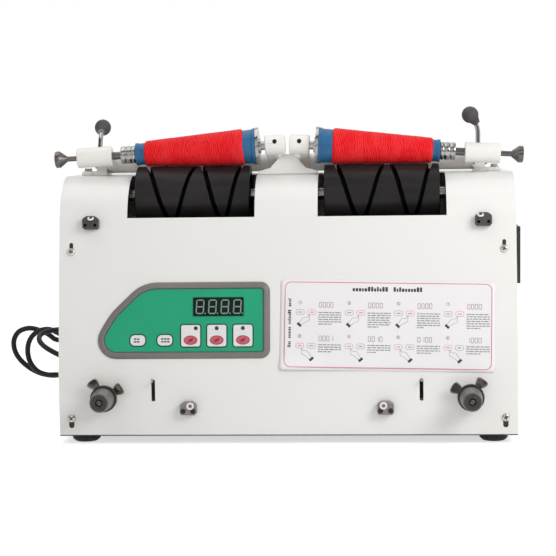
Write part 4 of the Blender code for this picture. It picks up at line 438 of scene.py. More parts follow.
def mark_details():
    """Balls of the levers and disc lips, and painted shade on the drum grooves, knob faces, knob recesses
    and screw holes.
    """
    for side, prefix in SIDES:
        ball, knob, post_x = Vector(BALLS[prefix]), prefix + "tension_knob", side * TENSION_X
        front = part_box(knob)[0][1]
        mark_faces(prefix + "lever", "ball_knob", lambda point: (point - ball).length < BALL_REACH)
        # Painted shade: the groove faces darker than the rest of the drum
        mark_faces(prefix + "drum", "groove_black", lambda point: in_drum_groove(point, side))
        # Painted shade: the knob's front faces get a darker copy of its plastic
        mark_faces(knob, "knob_face", lambda point: point.y < front + KNOB_FACE)
        # Painted shade in the knob's recess
        mark_faces(knob, "recess_dark", lambda point: in_knob_recess(point, front, post_x))
        mark_faces(
            prefix + "tension_discs", "brushed_steel",
            lambda point: off_axis(point, post_x, TENSION_Z) > DISC_LIP_RADIUS)
        for name in (prefix + "upper_guide", prefix + "lower_guide"):
            face = face_of(name)
            # Painted shade in the guides' screw holes
            mark_faces(name, "recess_dark", lambda point: in_guide_hole(point, face))
        # Painted shade in the set screw holes
        mark_faces(prefix + "cradle_frame", "recess_dark", lambda point: in_set_screw(point, side))


# Mesh helpers

def add_piece(name, mesh, look, body="machine", smooth=False):
    """A dressing piece that rides on a body."""
    piece = linked(name, mesh)
    mesh.materials.append(LOOKS[look])
    if smooth:
        for face in mesh.polygons:
            face.use_smooth = True
    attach(piece, body)
    return piece


def plain_mesh(name, vertices, faces):
    mesh = bpy.data.meshes.new(name)
    mesh.from_pydata([tuple(point) for point in vertices], [], faces)
    return mesh


def outward_mesh(name, vertices, faces, merge=0.0, toward=None):
    """A mesh whose faces look outward or toward a direction, with close vertices merged if asked."""
    mesh = plain_mesh(name, vertices, faces)
    work = bmesh.new()
    work.from_mesh(mesh)
    if merge:
        bmesh.ops.remove_doubles(work, verts=work.verts, dist=merge)
    bmesh.ops.recalc_face_normals(work, faces=work.faces)
    if toward is not None and sum(face.normal.dot(toward) for face in work.faces) < 0.0:
        bmesh.ops.reverse_faces(work, faces=work.faces)
    work.to_mesh(mesh)
    work.free()
    return mesh


def grid_faces(rows, columns, closed=True):
    """Faces between rows of vertices that close round on themselves, or don't."""
    faces = []
    for low in range(0, (rows - 1) * columns, columns):
        for column in range(columns if closed else columns - 1):
            after = (column + 1) % columns
            faces.append((low + column, low + after, low + columns + after, low + columns + column))
    return faces


def flat_mesh(name, shapes, place):
    """One mesh of flat shapes, each a list of 2D points or an (outer, inner) pair of equal counts."""
    vertices, faces = [], []
    for shape in shapes:
        first = len(vertices)
        if isinstance(shape, tuple):
            outline = shape[0] + shape[1]
            made = grid_faces(2, len(shape[0]))
        else:
            outline = shape
            made = [range(len(shape))]
        vertices += [place(*point) for point in outline]
        faces += [tuple(first + corner for corner in face) for face in made]
    mesh = plain_mesh(name, vertices, faces)
    work = bmesh.new()
    work.from_mesh(mesh)
    bmesh.ops.triangulate(work, faces=[face for face in work.faces if len(face.verts) > 4])
    work.to_mesh(mesh)
    work.free()
    return mesh


def add_flat(name, shapes, place, look, body="machine"):
    """A piece of flat shapes, laid by the placing function."""
    add_piece(name, flat_mesh(name, shapes, place), look, body)


def round_box(x, y, width, height, radius, steps=5):
    """A rounded rectangle about a middle, counterclockwise."""
    points = []
    radius = min(radius, width / 2, height / 2)
    for corner, (side_x, side_y) in enumerate(((1, 1), (-1, 1), (-1, -1), (1, -1))):
        for step in range(steps + 1):
            angle = math.pi / 2 * (corner + step / steps)
            points.append((
                x + side_x * (width / 2 - radius) + radius * math.cos(angle),
                y + side_y * (height / 2 - radius) + radius * math.sin(angle),
            ))
    return points


def round_frame(x, y, width, height, radius, line, steps=5):
    """A rounded rectangle's frame, as an outer and an inner outline."""
    inner = round_box(x, y, width - 2 * line, height - 2 * line, radius - line, steps)
    return round_box(x, y, width, height, radius, steps), inner


def ellipse(x, y, half_width, half_height, count=28):
    angles = [2 * math.pi * step / count for step in range(count)]
    return [(x + half_width * math.cos(angle), y + half_height * math.sin(angle)) for angle in angles]


def bar(x0, y0, x1, y1):
    return [(x0, y0), (x1, y0), (x1, y1), (x0, y1)]


def stroke(x0, y0, x1, y1, width):
    """A straight line of that width."""
    along = Vector((x1 - x0, y1 - y0)).normalized() * (width / 2)
    aside = Vector((-along.y, along.x))
    start, end = Vector((x0, y0)) - along * 0.5, Vector((x1, y1)) + along * 0.5
    return [tuple(start - aside), tuple(end - aside), tuple(end + aside), tuple(start + aside)]


def polyline(points, width):
    return [stroke(*first, *second, width) for first, second in zip(points, points[1:])]


def lathe(name, profile, place, look, body, sides=40, smooth=True):
    """A turned piece about the placing matrix's Z, from radius and height pairs."""
    vertices = []
    for radius, height in profile:
        for side in range(sides):
            angle = 2 * math.pi * side / sides
            vertices.append(place @ Vector((radius * math.cos(angle), radius * math.sin(angle), height)))
    mesh = outward_mesh(name, vertices, grid_faces(len(profile), sides), TURNED_MERGE)
    piece = add_piece(name, mesh, look, body, smooth)
    if smooth:
        mesh.set_sharp_from_angle(angle=math.radians(TURNED_SHARP_DEG))
    return piece


def ring(name, place, middle_radius, thickness, look, body="machine"):
    """A round-section ring about the placing matrix's Z."""
    angles = [2 * math.pi * step / 16 for step in range(17)]
    profile = [
        (middle_radius + thickness * math.cos(angle), thickness * math.sin(angle)) for angle in angles]
    lathe(name, profile, place, look, body)


def dome(radius, foot, rise):
    """Profile of a rounded top, from its edge to the axis."""
    angles = [math.radians(15 * part) for part in range(7)]
    return [(radius * math.cos(angle), foot + rise * math.sin(angle)) for angle in angles]


def frame_at(origin, out):
    """A placing matrix whose Z points out of a face and whose Y points up it."""
    out = Vector(out).normalized()
    up = out.cross(ACROSS).normalized()
    turn = Matrix((ACROSS, up, out)).transposed().to_4x4()
    return Matrix.Translation(origin) @ turn


def lifted(place, lift):
    """A placing function for flat shapes at a height in a placing matrix."""
    return lambda a, b: place @ Vector((a, b, lift))


def on_lean(x, up, lift):
    """A place on the leaning front: across, up its slope from the fold, and off its face."""
    return FOLD + ACROSS * x + UP * up + OUT * lift


def on_front(x, z, lift):
    """A place on the upright front below the fold."""
    return Vector((x, FRONT_Y - lift, z))


def face_of(name):
    """A node's outer face on the lean: its middle, its lift off the casing and its size."""
    points = [vertex.co for vertex in NODES[name].data.vertices]
    xs = [point.x for point in points]
    ups = [(point - FOLD).dot(UP) for point in points]
    lift = max((point - FOLD).dot(OUT) for point in points)
    middle_x, middle_up = (min(xs) + max(xs)) / 2, (min(ups) + max(ups)) / 2
    return Face(middle_x, middle_up, lift, max(xs) - min(xs), max(ups) - min(ups))


# The lead

CORD_RADIUS = 0.0042
# Across, behind the rear panel and up, in tenths of a millimetre
CORD_ROUTE = (
    (-3000, 173, 1180), (-3000, 320, 1180), (-3015, 480, 1176), (-3080, 630, 1170), (-3205, 740, 1163),
    (-3370, 795, 1158), (-3560, 800, 1155), (-3750, 795, 1155), (-3930, 755, 1150), (-4065, 655, 1132),
    (-4130, 515, 1095), (-4115, 375, 1028), (-4020, 270, 950), (-3875, 225, 868), (-3700, 225, 783),
    (-3525, 260, 706), (-3350, 335, 648), (-3210, 455, 608), (-3145, 615, 580), (-3180, 790, 555),
    (-3300, 930, 530), (-3470, 1010, 493), (-3670, 1035, 450), (-3951, 1030, 378), (-4125, 1030, 379),
    (-4297, 1030, 426), (-4460, 1030, 524), (-4592, 1030, 653), (-4666, 1030, 801), (-4671, 1030, 956),
    (-4605, 1030, 1077), (-4498, 1030, 1135), (-4378, 1030, 1148), (-4242, 1030, 1113), (-4100, 1030, 1045),
    (-3955, 1030, 952), (-3730, 1023, 1000), (-3535, 1015, 965), (-3320, 1003, 925), (-3120, 990, 845),
    (-2975, 975, 705), (-2920, 960, 530), (-2975, 945, 375), (-3120, 932, 275), (-3315, 920, 250),
    (-3515, 912, 285), (-3710, 907, 350), (-3936, 905, 400), (-4108, 905, 401), (-4274, 905, 464),
    (-4385, 905, 607), (-4423, 905, 777), (-4399, 905, 933), (-4319, 905, 1058), (-4183, 905, 1134),
    (-4042, 905, 1140), (-3905, 900, 1078), (-3760, 875, 1050), (-3620, 815, 930), (-3530, 730, 765),
    (-3475, 650, 585), (-3395, 600, 415), (-3265, 555, 275), (-3080, 495, 175), (-2870, 430, 105),
    (-2645, 370, 60), (-2390, 320, 45), (-2100, 295, 45),
)
TENTHS = 10000.0
COIL_MEAN, COIL_PITCH, COIL_RISE = 0.041, 0.0100, 0.0092
COIL_STEPS = 24
COIL_MIDDLE = Vector((-0.120, REAR_Y + 0.075, CORD_RADIUS + 0.0003))
PLUG_HEIGHT, TAIL_LENGTH, TAIL_IN_PLUG = 0.0168, 0.045, 0.008


def lead_points():
    """The route to the floor, the coil's turn inward, its turn outward on top, and the tail."""
    points = [Vector((x / TENTHS, REAR_Y + back / TENTHS, up / TENTHS)) for x, back, up in CORD_ROUTE]
    heading = (points[-1] - points[-2]).normalized()
    start = points[-1] + heading * 2 * CORD_RADIUS
    entry = COIL_MIDDLE - Vector((0.0, COIL_MEAN + COIL_PITCH / 2, 0.0))
    points += [start.lerp(entry, share) for share in (0.0, 0.25, 0.5, 0.75)]
    climb = COIL_STEPS * 0.25
    for step in range(2 * COIL_STEPS + 1):
        angle = 2 * math.pi * step / COIL_STEPS - math.pi / 2
        if step <= COIL_STEPS:
            radius = COIL_MEAN + COIL_PITCH / 2 - COIL_PITCH * step / COIL_STEPS
            rise = 0.0
        else:
            risen = min((step - COIL_STEPS) / climb, 1.0)
            rise = COIL_RISE * risen * risen * (3.0 - 2.0 * risen)
            outward = max(step - COIL_STEPS - climb, 0.0) / (COIL_STEPS - climb)
            radius = COIL_MEAN - COIL_PITCH / 2 + COIL_PITCH * outward
        points.append(COIL_MIDDLE + Vector((radius * math.cos(angle), radius * math.sin(angle), rise)))
    top = points[-1]
    for share in (0.25, 0.5, 0.75, 1.0):
        points.append(top + Vector((TAIL_LENGTH * share, 0.0, (PLUG_HEIGHT - top.z) * share)))
    points.append(points[-1] + ACROSS * TAIL_IN_PLUG)
    return points


def smoothed(points, parts):
    """Points on a smooth curve through the given ones."""
    made = []
    for index in range(len(points) - 1):
        before = points[max(index - 1, 0)]
        start, end = points[index], points[index + 1]
        after = points[min(index + 2, len(points) - 1)]
        for part in range(parts):
            t = part / parts
            made.append(0.5 * (
                2 * start + (end - before) * t + (2 * before - 5 * start + 4 * end - after) * t * t
                + (3 * start - before - 3 * end + after) * t * t * t
            ))
    made.append(points[-1])
    return made


def make_lead():
    """The mains lead as one smooth curve from the gland to the plug."""
    points = smoothed(lead_points(), 3)
    curve = bpy.data.curves.new("mains_lead", "CURVE")
    curve.dimensions = "3D"
    spline = curve.splines.new("POLY")
    spline.points.add(len(points) - 1)
    for target, point in zip(spline.points, points):
        target.co = (*point, 1.0)
    curve.bevel_depth = CORD_RADIUS
    curve.bevel_resolution = 4
    curve.use_fill_caps = True
    curve.materials.append(LOOKS["lead_rubber"])
    lead = linked("mains_lead", curve)
    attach(lead, "machine")
    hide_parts("cord", "cord_coil")
    length = sum((second - first).length for first, second in zip(points, points[1:]))
    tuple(points[0])


# Yarn on the cones

CONE_MID_RADIUS = 0.019452
YARN_ENDS = {"left_": (-0.0675, 0.0725), "right_": (-0.0650, 0.0748)}
YARN_SEEDS = {"left_": 11, "right_": 12}
YARN_ROWS, YARN_COLUMNS = 420, 168
YARN_THICKNESS, YARN_OVER, YARN_UNDER, YARN_END_ROWS = 0.0024, 0.00012, 0.00005, 9.0
STRAND_RELIEF, SLOW_RELIEF, GRAIN_RELIEF = 0.00042, 0.00016, 0.00003
# Pitch along the cone and laps round it, of both families of strands and of which is on top
FIRST_STRANDS, SECOND_STRANDS, ON_TOP = (0.0024, 8), (0.0031, -7), (0.021, 3)
STRAND_DRIFT, ON_TOP_DRIFT = 0.30, 2.5
# Where the painted highlights start on the strands' crests, and their span
STREAK_FROM, STREAK_SPAN = 0.93, 0.07
# Height, waves in a turn and phase of the yarn's uneven edges
INNER_EDGE, OUTER_EDGE = ((0.0004, 1, 0.7), (0.0003, 3, 0.0)), ((-0.0006, 1, 2.1), (-0.0004, 2, 1.0))
YARN_SURFACE = {"Roughness": 0.55, "Specular IOR Level": 0.12, "Sheen Weight": 0.04, "Sheen Roughness": 0.5}


def spindle_frame(side):
    """The frame on a spindle's axis whose Z points outward and falls by the taper."""
    outward = Vector((side * math.cos(TAPER), 0.0, -math.sin(TAPER)))
    ahead = Vector((0.0, 1.0, 0.0))
    first = ahead.cross(outward).normalized()
    turn = Matrix((first, ahead, outward)).transposed().to_4x4()
    return Matrix.Translation(Vector((side * SPINDLE_MID, SPINDLE_Y, SPINDLE_Z))) @ turn


def make_yarn_material():
    """Red yarn with painted shade between the strands and painted highlights along their tops."""
    material, tree, shader = new_material("yarn_red")
    relief, crest_highlight_and_variation = [
        node(tree, "ShaderNodeAttribute", {}, "Fac", attribute_name=name) for name in ("relief", "crest_highlight_and_variation")]
    # Painted shade: relief darkens the red between the strands
    body = blended(tree, relief, (0.34, 0.0008, 0.0025, 1.0), (0.90, 0.0050, 0.0115, 1.0))
    # Painted highlights along the crests, mixed with random variation
    tree.links.new(blended(tree, crest_highlight_and_variation, body, (1.0, 0.085, 0.095, 1.0)), shader.inputs["Base Color"])
    for key, value in YARN_SURFACE.items():
        shader.inputs[key].default_value = value
    bump(tree, shader, noise(tree, coordinates(tree), 2200.0, 2.0), 0.35, 0.0003)
    return material


def wander(rng, waves):
    """A slow and smooth irregularity over the wound surface, seamless round it, about -1 to 1."""
    down = np.linspace(0.0, 2 * np.pi, YARN_ROWS)[:, None]
    round_about = np.linspace(0.0, 2 * np.pi, YARN_COLUMNS, endpoint=False)[None, :]
    total = np.zeros((YARN_ROWS, YARN_COLUMNS))
    for wave in range(1, waves + 1):
        along_phase, round_phase = rng.uniform(0.0, 2 * np.pi, 2)
        turned = int(rng.integers(0, 4)) * round_about
        total += np.sin(down * wave * 1.3 + turned + along_phase) * np.cos(round_phase)
        total += np.sin(down * wave * 2.1 - turned + round_phase) * 0.5
    return total / math.sqrt(waves)


def uneven_edge(waves, angle):
    return sum(height * np.sin(count * angle + phase) for height, count, phase in waves)


def painted_crest_highlights(strands, on_top):
    """Painted highlights along the crests of the strands that are on top."""
    crests = np.clip(strands - STREAK_FROM, 0.0, STREAK_SPAN) / STREAK_SPAN
    return crests * np.clip(on_top, 0.0, 1.0)


def store_values(mesh, name, values):
    """One number per vertex, for the yarn's look."""
    stored = mesh.attributes.new(name, "FLOAT", "POINT")
    stored.data.foreach_set("value", values.astype(np.float32).ravel())


def make_yarn(side, prefix):
    """A cross-wound layer: two families of strands that ride over and under each other."""
    rng = np.random.default_rng(YARN_SEEDS[prefix])
    start, end = YARN_ENDS[prefix]
    share = np.linspace(0.0, 1.0, YARN_ROWS)[:, None]
    angle = np.linspace(0.0, 2 * np.pi, YARN_COLUMNS, endpoint=False)[None, :]
    edge_in = start + uneven_edge(INNER_EDGE, angle)
    edge_out = end + uneven_edge(OUTER_EDGE, angle)
    along = edge_in + share * (edge_out - edge_in)
    base = CONE_MID_RADIUS - along * math.tan(TAPER)
    families = []
    for pitch, laps in (FIRST_STRANDS, SECOND_STRANDS):
        turns = along / pitch + laps * angle / (2 * np.pi) + wander(rng, 7) * STRAND_DRIFT
        families.append(np.abs(np.sin(np.pi * turns)))
    first, second = families
    pitch, laps = ON_TOP
    over = 0.5 + 0.5 * np.sin(2 * np.pi * along / pitch + laps * angle + ON_TOP_DRIFT * wander(rng, 4))
    strands = np.maximum(first ** 0.8 * (0.45 + 0.55 * over), second ** 0.8 * (1.0 - 0.5 * over))
    slow = wander(rng, 5)
    grain = rng.normal(0.0, 1.0, (YARN_ROWS, YARN_COLUMNS))
    grain = sum(np.roll(grain, shift, 1) for shift in (0, 1, 2, -1)) / 4
    ends = np.clip(np.minimum(share, 1 - share) * YARN_ROWS / YARN_END_ROWS, 0, 1) ** 0.5
    relief = ((strands - 0.7) * STRAND_RELIEF + slow * SLOW_RELIEF) * ends + grain * GRAIN_RELIEF
    radius = base + np.clip(YARN_THICKNESS * ends + relief, YARN_UNDER, YARN_THICKNESS + YARN_OVER)
    place = spindle_frame(side)
    local = np.stack([radius * np.cos(angle), radius * np.sin(angle), along + 0 * angle], -1)
    places = local.reshape(-1, 3) @ np.array(place.to_3x3()).T + np.array(place.translation)
    name = prefix + "wound_yarn"
    mesh = outward_mesh(name, places.tolist(), grid_faces(YARN_ROWS, YARN_COLUMNS))
    # Painted shade between the strands, and painted highlights on their crests with random variation
    store_values(mesh, "relief", np.clip(strands * 0.9 + 0.1, 0, 1))
    lit = painted_crest_highlights(first, over - 0.35) + painted_crest_highlights(second, 0.65 - over)
    store_values(mesh, "crest_highlight_and_variation", np.clip(0.06 + 0.85 * lit + 0.14 * grain + 0.10 * slow, 0.0, 0.85))
    piece = add_piece(name, mesh, "yarn_red", prefix + "package", smooth=True)
    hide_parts(prefix + "yarn")


# Control panel

SEGMENTS = {
    "a": ((0.12, 1.0), (0.88, 1.0)), "b": ((1.0, 0.94), (1.0, 0.54)), "c": ((1.0, 0.46), (1.0, 0.06)),
    "d": ((0.12, 0.0), (0.88, 0.0)), "e": ((0.0, 0.46), (0.0, 0.06)), "f": ((0.0, 0.94), (0.0, 0.54)),
    "g": ((0.14, 0.5), (0.86, 0.5)),
}
DIGIT_SEGMENTS = {
    "0": "abcdef", "1": "bc", "2": "abged", "3": "abgcd", "4": "fgbc", "5": "afgcd", "6": "afgcde",
    "7": "abc", "8": "abcdefg",
}
# Share of the way from the frame's outer border to its inner one, and of its height
BEZEL_PROFILE = (
    (0.0, 0.08), (0.03, 0.26), (0.09, 0.42), (0.20, 0.59), (0.34, 0.75), (0.48, 0.87), (0.62, 0.96),
    (0.74, 1.0), (0.82, 0.97), (0.88, 0.88), (0.92, 0.72), (0.93, 0.30), (1.0, 0.24),
)
INK_LIFT, PANEL_INK_LIFT = 0.00006, 0.00008
# The display's digits, in shares of its width and height, and their line, slant and point
DIGIT_LEFT, DIGIT_STEP, DIGIT_WIDTH, DIGIT_HEIGHT, POINT_ASIDE = -0.442, 0.247, 0.142, 0.72, 0.18
DIGIT_LINE, DIGIT_SLANT, POINT_RADIUS = 0.0017, 0.06, 0.0010
FLAT_KEYS = 2
FLAT_KEY_CORNER, TALL_KEY_CORNER, KEY_OUTER, KEY_INNER = 0.0062, 0.0034, 0.0032, 0.0006
MARK_LEFT, MARK_STEP, MARK_WIDTH, MARK_HALF_HEIGHT = -0.0052, 0.0042, 0.0033, 0.0010
OVAL_UP, OVAL_WIDE, OVAL_HIGH, RIM_OUTWARD, RIM_INWARD = 0.0087, 0.0092, 0.0061, 0.0003, 0.0005
# The two halves of an arrow, off the oval's middle
ARROW = (
    ((-0.0044, -0.0033), (0.0014, -0.0009), (-0.0014, 0.0017)),
    ((0.0044, 0.0035), (-0.0014, 0.0009), (0.0014, -0.0015)),
)
LAMP_ASIDE = (0.0072, 0.0, 0.0)
LAMP_DOWN = 0.0046
LAMP_PROFILE = [(0.0028, 0.0), (0.0028, 0.0003)] + dome(0.0024, 0.0003, 0.0008)


def digit(character, x, y, width, height, line, slant=0.0):
    """Strokes of a seven-segment digit whose lower left corner is given."""
    strokes = []
    for segment in DIGIT_SEGMENTS[character]:
        ends = []
        for share_x, share_y in SEGMENTS[segment]:
            ends += [x + share_x * width + slant * share_y * height, y + share_y * height]
        strokes.append(stroke(*ends, line))
    return strokes


def face_loops(name):
    """The border loops of a node's outer face, each a list of places in order."""
    work = bmesh.new()
    work.from_mesh(NODES[name].data)
    bmesh.ops.remove_doubles(work, verts=work.verts, dist=WELD_REACH)
    lift = max((vertex.co - FOLD).dot(OUT) for vertex in work.verts)
    front = {
        face for face in work.faces
        if all((vertex.co - FOLD).dot(OUT) > lift - 0.00005 for vertex in face.verts)
    }
    after = {}
    for face in front:
        for loop in face.loops:
            if not any(other in front for other in loop.edge.link_faces if other is not face):
                after[loop.vert.index] = (loop.link_loop_next.vert.index, loop.vert.co.copy())
    loops = []
    while after:
        current, places = next(iter(after)), []
        while current in after:
            current, place = after.pop(current)
            places.append(place)
        loops.append(places)
    work.free()
    return sorted(loops, key=lambda places: -max(place.x for place in places))


def make_bezel():
    """The moulded frame round the panel: rounded on its outside, with a lip down to the panel."""
    outer, inner = face_loops("control_bezel")[:2]
    height = face_of("control_bezel").lift
    nearest = min(range(len(inner)), key=lambda index: (inner[index] - outer[0]).length)
    inner = inner[nearest:] + inner[:nearest]
    if (inner[1] - outer[1]).length > (inner[-1] - outer[1]).length:
        inner = inner[:1] + inner[:0:-1]
    vertices = []
    for share, rise in BEZEL_PROFILE:
        drop = OUT * height * (1.0 - rise)
        vertices += [first.lerp(last, share) - drop for first, last in zip(outer, inner)]
    mesh = outward_mesh("bezel_frame", vertices, grid_faces(len(BEZEL_PROFILE), len(outer)), toward=OUT)
    piece = add_piece("bezel_frame", mesh, "bezel_grey", smooth=True)
    mesh.set_sharp_from_angle(angle=math.radians(MOULDED_SHARP_DEG))
    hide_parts("control_bezel")


def over_face(face, lift=INK_LIFT):
    """A placing function for flat shapes just over a face, off its middle."""
    return lambda a, b: on_lean(face.x + a, face.up + b, face.lift + lift)


def make_display():
    """Four unlit digits with their points, and the window's dark outline."""
    face = face_of("display_window")
    foot = -DIGIT_HEIGHT / 2 * face.height
    shapes = []
    for index in range(4):
        left = (DIGIT_LEFT + DIGIT_STEP * index) * face.width
        width, height = DIGIT_WIDTH * face.width, DIGIT_HEIGHT * face.height
        shapes += digit("8", left, foot, width, height, DIGIT_LINE, DIGIT_SLANT)
        shapes.append(ellipse(left + POINT_ASIDE * face.width, foot, POINT_RADIUS, POINT_RADIUS, 10))
    border = (
        round_box(0.0, 0.0, face.width * 1.012, face.height * 1.03, 0.0012),
        round_box(0.0, 0.0, face.width * 0.985, face.height * 0.96, 0.0009),
    )
    add_flat("display_digits", shapes, over_face(face), "segment_grey")
    add_flat("display_border", [border], over_face(face), "outline_green")


def make_key_outlines():
    """A dark outline round each key."""
    lift = face_of("control_panel").lift + PANEL_INK_LIFT
    outlines = []
    for index, name in enumerate(KEYS):
        face = face_of(name)
        corner = FLAT_KEY_CORNER if index < FLAT_KEYS else TALL_KEY_CORNER
        outlines.append((
            round_box(face.x, face.up, face.width + KEY_OUTER, face.height + KEY_OUTER, corner + 0.0014),
            round_box(face.x, face.up, face.width + KEY_INNER, face.height + KEY_INNER, corner),
        ))
    add_flat("key_outlines", outlines, lambda a, b: on_lean(a, b, lift), "outline_green")


def mark_flat_key(name, face, count):
    """Two rows of short bars."""
    bars = []
    for row_up in (0.0018, -0.0020):
        for part in range(count):
            start = MARK_LEFT + part * MARK_STEP
            bars.append(bar(start, row_up - MARK_HALF_HEIGHT, start + MARK_WIDTH, row_up + MARK_HALF_HEIGHT))
    add_flat(name + "_mark", bars, over_face(face), "ink_black", name + "_cap")


def mark_tall_key(name, face, lamp_aside):
    """An oval with its rim and arrow, and a lamp above."""
    body = name + "_cap"
    middle = OVAL_UP - face.height / 2
    oval, outer, inner = [
        ellipse(0.0, middle, OVAL_WIDE + more, OVAL_HIGH + more) for more in (0.0, RIM_OUTWARD, -RIM_INWARD)]
    arrow = [[(a, middle + b) for a, b in half] for half in ARROW]
    add_flat(name + "_oval", [oval], over_face(face), "key_pink", body)
    add_flat(name + "_mark", [(outer, inner)] + arrow, over_face(face, 2 * INK_LIFT), "key_red", body)
    lamp_place = on_lean(face.x + lamp_aside, face.up + face.height / 2 - LAMP_DOWN, face.lift - 0.0002)
    lathe(name + "_lamp", LAMP_PROFILE, frame_at(lamp_place, OUT), "lamp_dark", body, 24)


def make_panel_marks():
    make_display()
    make_bezel()
    make_key_outlines()
    for index, name in enumerate(KEYS):
        if index < FLAT_KEYS:
            mark_flat_key(name, face_of(name), 2 + index)
        else:
            mark_tall_key(name, face_of(name), LAMP_ASIDE[index - FLAT_KEYS])


# Instruction sheet, in its own millimetres across and down

SHEET_TURN = math.radians(-1.1)
SHEET_X, SHEET_UP, SHEET_LIFT = -0.0016, 0.1262, 0.00025
SHEET_LEFT, SHEET_RIGHT, SHEET_TOP, SHEET_BOTTOM = -6.0, 288.0, -3.4, 121.0
SHEET_CORNER, SHEET_THICKNESS = 3.0, 0.00018
CURL_FROM, CURL_DOWN, CURL_ACROSS, CURL_RISE, CURL_REST = 96.0, 24.0, 120.0, 0.0032, 0.0004
BORDER = round_frame(141.5, 58.75, 283.1, 117.5, 9.0, 1.1, 8)
TITLE_SPANS, TITLE_FOOT = ((93.0, 143.0), (149.0, 190.0)), 12.4
SIDE_WORDS, SIDE_START, SIDE_SPACE, SIDE_EDGE = (12.0, 20.0, 16.0, 9.0), 23.0, 3.6, 9.2
CELL_X, CELL_STEP_X, CELL_Y, CELL_STEP_Y = 15.6, 67.3, 28.5, 46.0
KEY_DOWN, KEY_ASIDE = 13.2, (6.0, 21.7)
TEXT_ASIDE, TEXT_WIDTH, TEXT_STEP, TEXT_HEIGHT = 31.0, 31.5, 3.15, 1.35
# Finger tip and cuff off the cell and its keys, and the side that the hand comes from
HANDS = (((19.0, 3.0), (4.0, 15.5), 1.0), ((8.0, 3.0), (23.0, 16.5), -1.0))
HAND_TOP = ((0.0, 0.0), (-2.5, 3.6), (-8.6, 4.2))
HAND_UNDER = ((0.0, 0.0), (-0.4, 4.6), (-0.6, 8.2), (-5.2, 10.4))
SLEEVE = ((-0.6, -1.8), (4.4, 2.6), (2.2, 5.2), (-2.8, 0.8))
HAND_LINE = 0.5
INK_PIECES = (("border", "pink", 0.00006), ("lines", "grey", 0.00008), ("marks", "black", 0.00010))


def sheet_point(x, y, lift):
    """A place on the sheet, with the lifted lower left edge."""
    across, down = x / 1000.0, y / 1000.0
    rise = max(0.0, (y - CURL_FROM) / CURL_DOWN)
    left = max(0.0, 1.0 - max(x, 0.0) / CURL_ACROSS)
    curl = (CURL_RISE * left + CURL_REST) * rise * rise
    return on_lean(
        SHEET_X + across * math.cos(SHEET_TURN) + down * math.sin(SHEET_TURN),
        SHEET_UP + across * math.sin(SHEET_TURN) - down * math.cos(SHEET_TURN), SHEET_LIFT + curl + lift,
    )


def make_paper():
    """The sheet itself, with rounded corners."""
    columns, rows = 60, 30
    vertices = []
    for row in range(rows + 1):
        y = SHEET_TOP + (SHEET_BOTTOM - SHEET_TOP) * row / rows
        short = SHEET_CORNER - min(y - SHEET_TOP, SHEET_BOTTOM - y, SHEET_CORNER)
        inset = SHEET_CORNER - math.sqrt(max(SHEET_CORNER ** 2 - short ** 2, 0.0))
        for column in range(columns + 1):
            x = SHEET_LEFT + (SHEET_RIGHT - SHEET_LEFT) * column / columns
            vertices.append(sheet_point(min(max(x, SHEET_LEFT + inset), SHEET_RIGHT - inset), y, 0.0))
    faces = grid_faces(rows + 1, columns + 1, False)
    mesh = outward_mesh("instruction_sheet", vertices, faces, toward=OUT)
    paper = add_piece("instruction_sheet", mesh, "label_paper", smooth=True)
    solid = paper.modifiers.new("thickness", "SOLIDIFY")
    solid.thickness = SHEET_THICKNESS
    solid.offset = -1.0


def runs(rng, start, end, shortest, longest, least, space=0.0):
    """Starts and random lengths of blocks one after the other, while more than the least is left."""
    while start < end - least:
        length = min(rng.uniform(shortest, longest), end - start)
        yield start, length
        start += length + space


def title_blocks(rng):
    """Blocks for the words along the sheet's top and down its left side."""
    blocks = []
    for x0, x1 in TITLE_SPANS:
        for x, wide in runs(rng, x0, x1, 3.4, 4.6, 1.5):
            top = 6.0 if rng.random() < 0.3 else 8.0
            middle = (top + TITLE_FOOT) / 2
            blocks.append(round_box(x + wide / 2 - 0.5, middle, wide - 1.0, TITLE_FOOT - top, 0.9, 3))
    start = SIDE_START
    for word in SIDE_WORDS:
        for y, tall in runs(rng, start, start + word, 1.8, 3.0, 1.0):
            left = 4.6 if rng.random() < 0.3 else 5.8
            middle = (left + SIDE_EDGE) / 2
            blocks.append(round_box(middle, y + tall / 2, SIDE_EDGE - left, tall - 0.7, 0.7, 3))
        start += word + SIDE_SPACE
    return blocks


def sheet_digit(character, x, y, width, height, line):
    """A digit on the sheet, whose Y runs down; y is the digit's foot."""
    return [[(a, y - b) for a, b in shape] for shape in digit(character, x, 0.0, width, height, line)]


def hand(x, y, row):
    """The lines of a pressing hand, and the end of its sleeve."""
    tip, cuff, lean = HANDS[row]

    def placed(start, offsets):
        return [(x + start[0] + a * lean, y + start[1] + b) for a, b in offsets]

    top = placed(tip, HAND_TOP) + placed(cuff, ((0.0, 0.0),))
    under = placed(tip, HAND_UNDER) + placed(cuff, ((3.6, 1.8),))
    return polyline(top, HAND_LINE) + polyline(under, HAND_LINE), placed(cuff, SLEEVE)


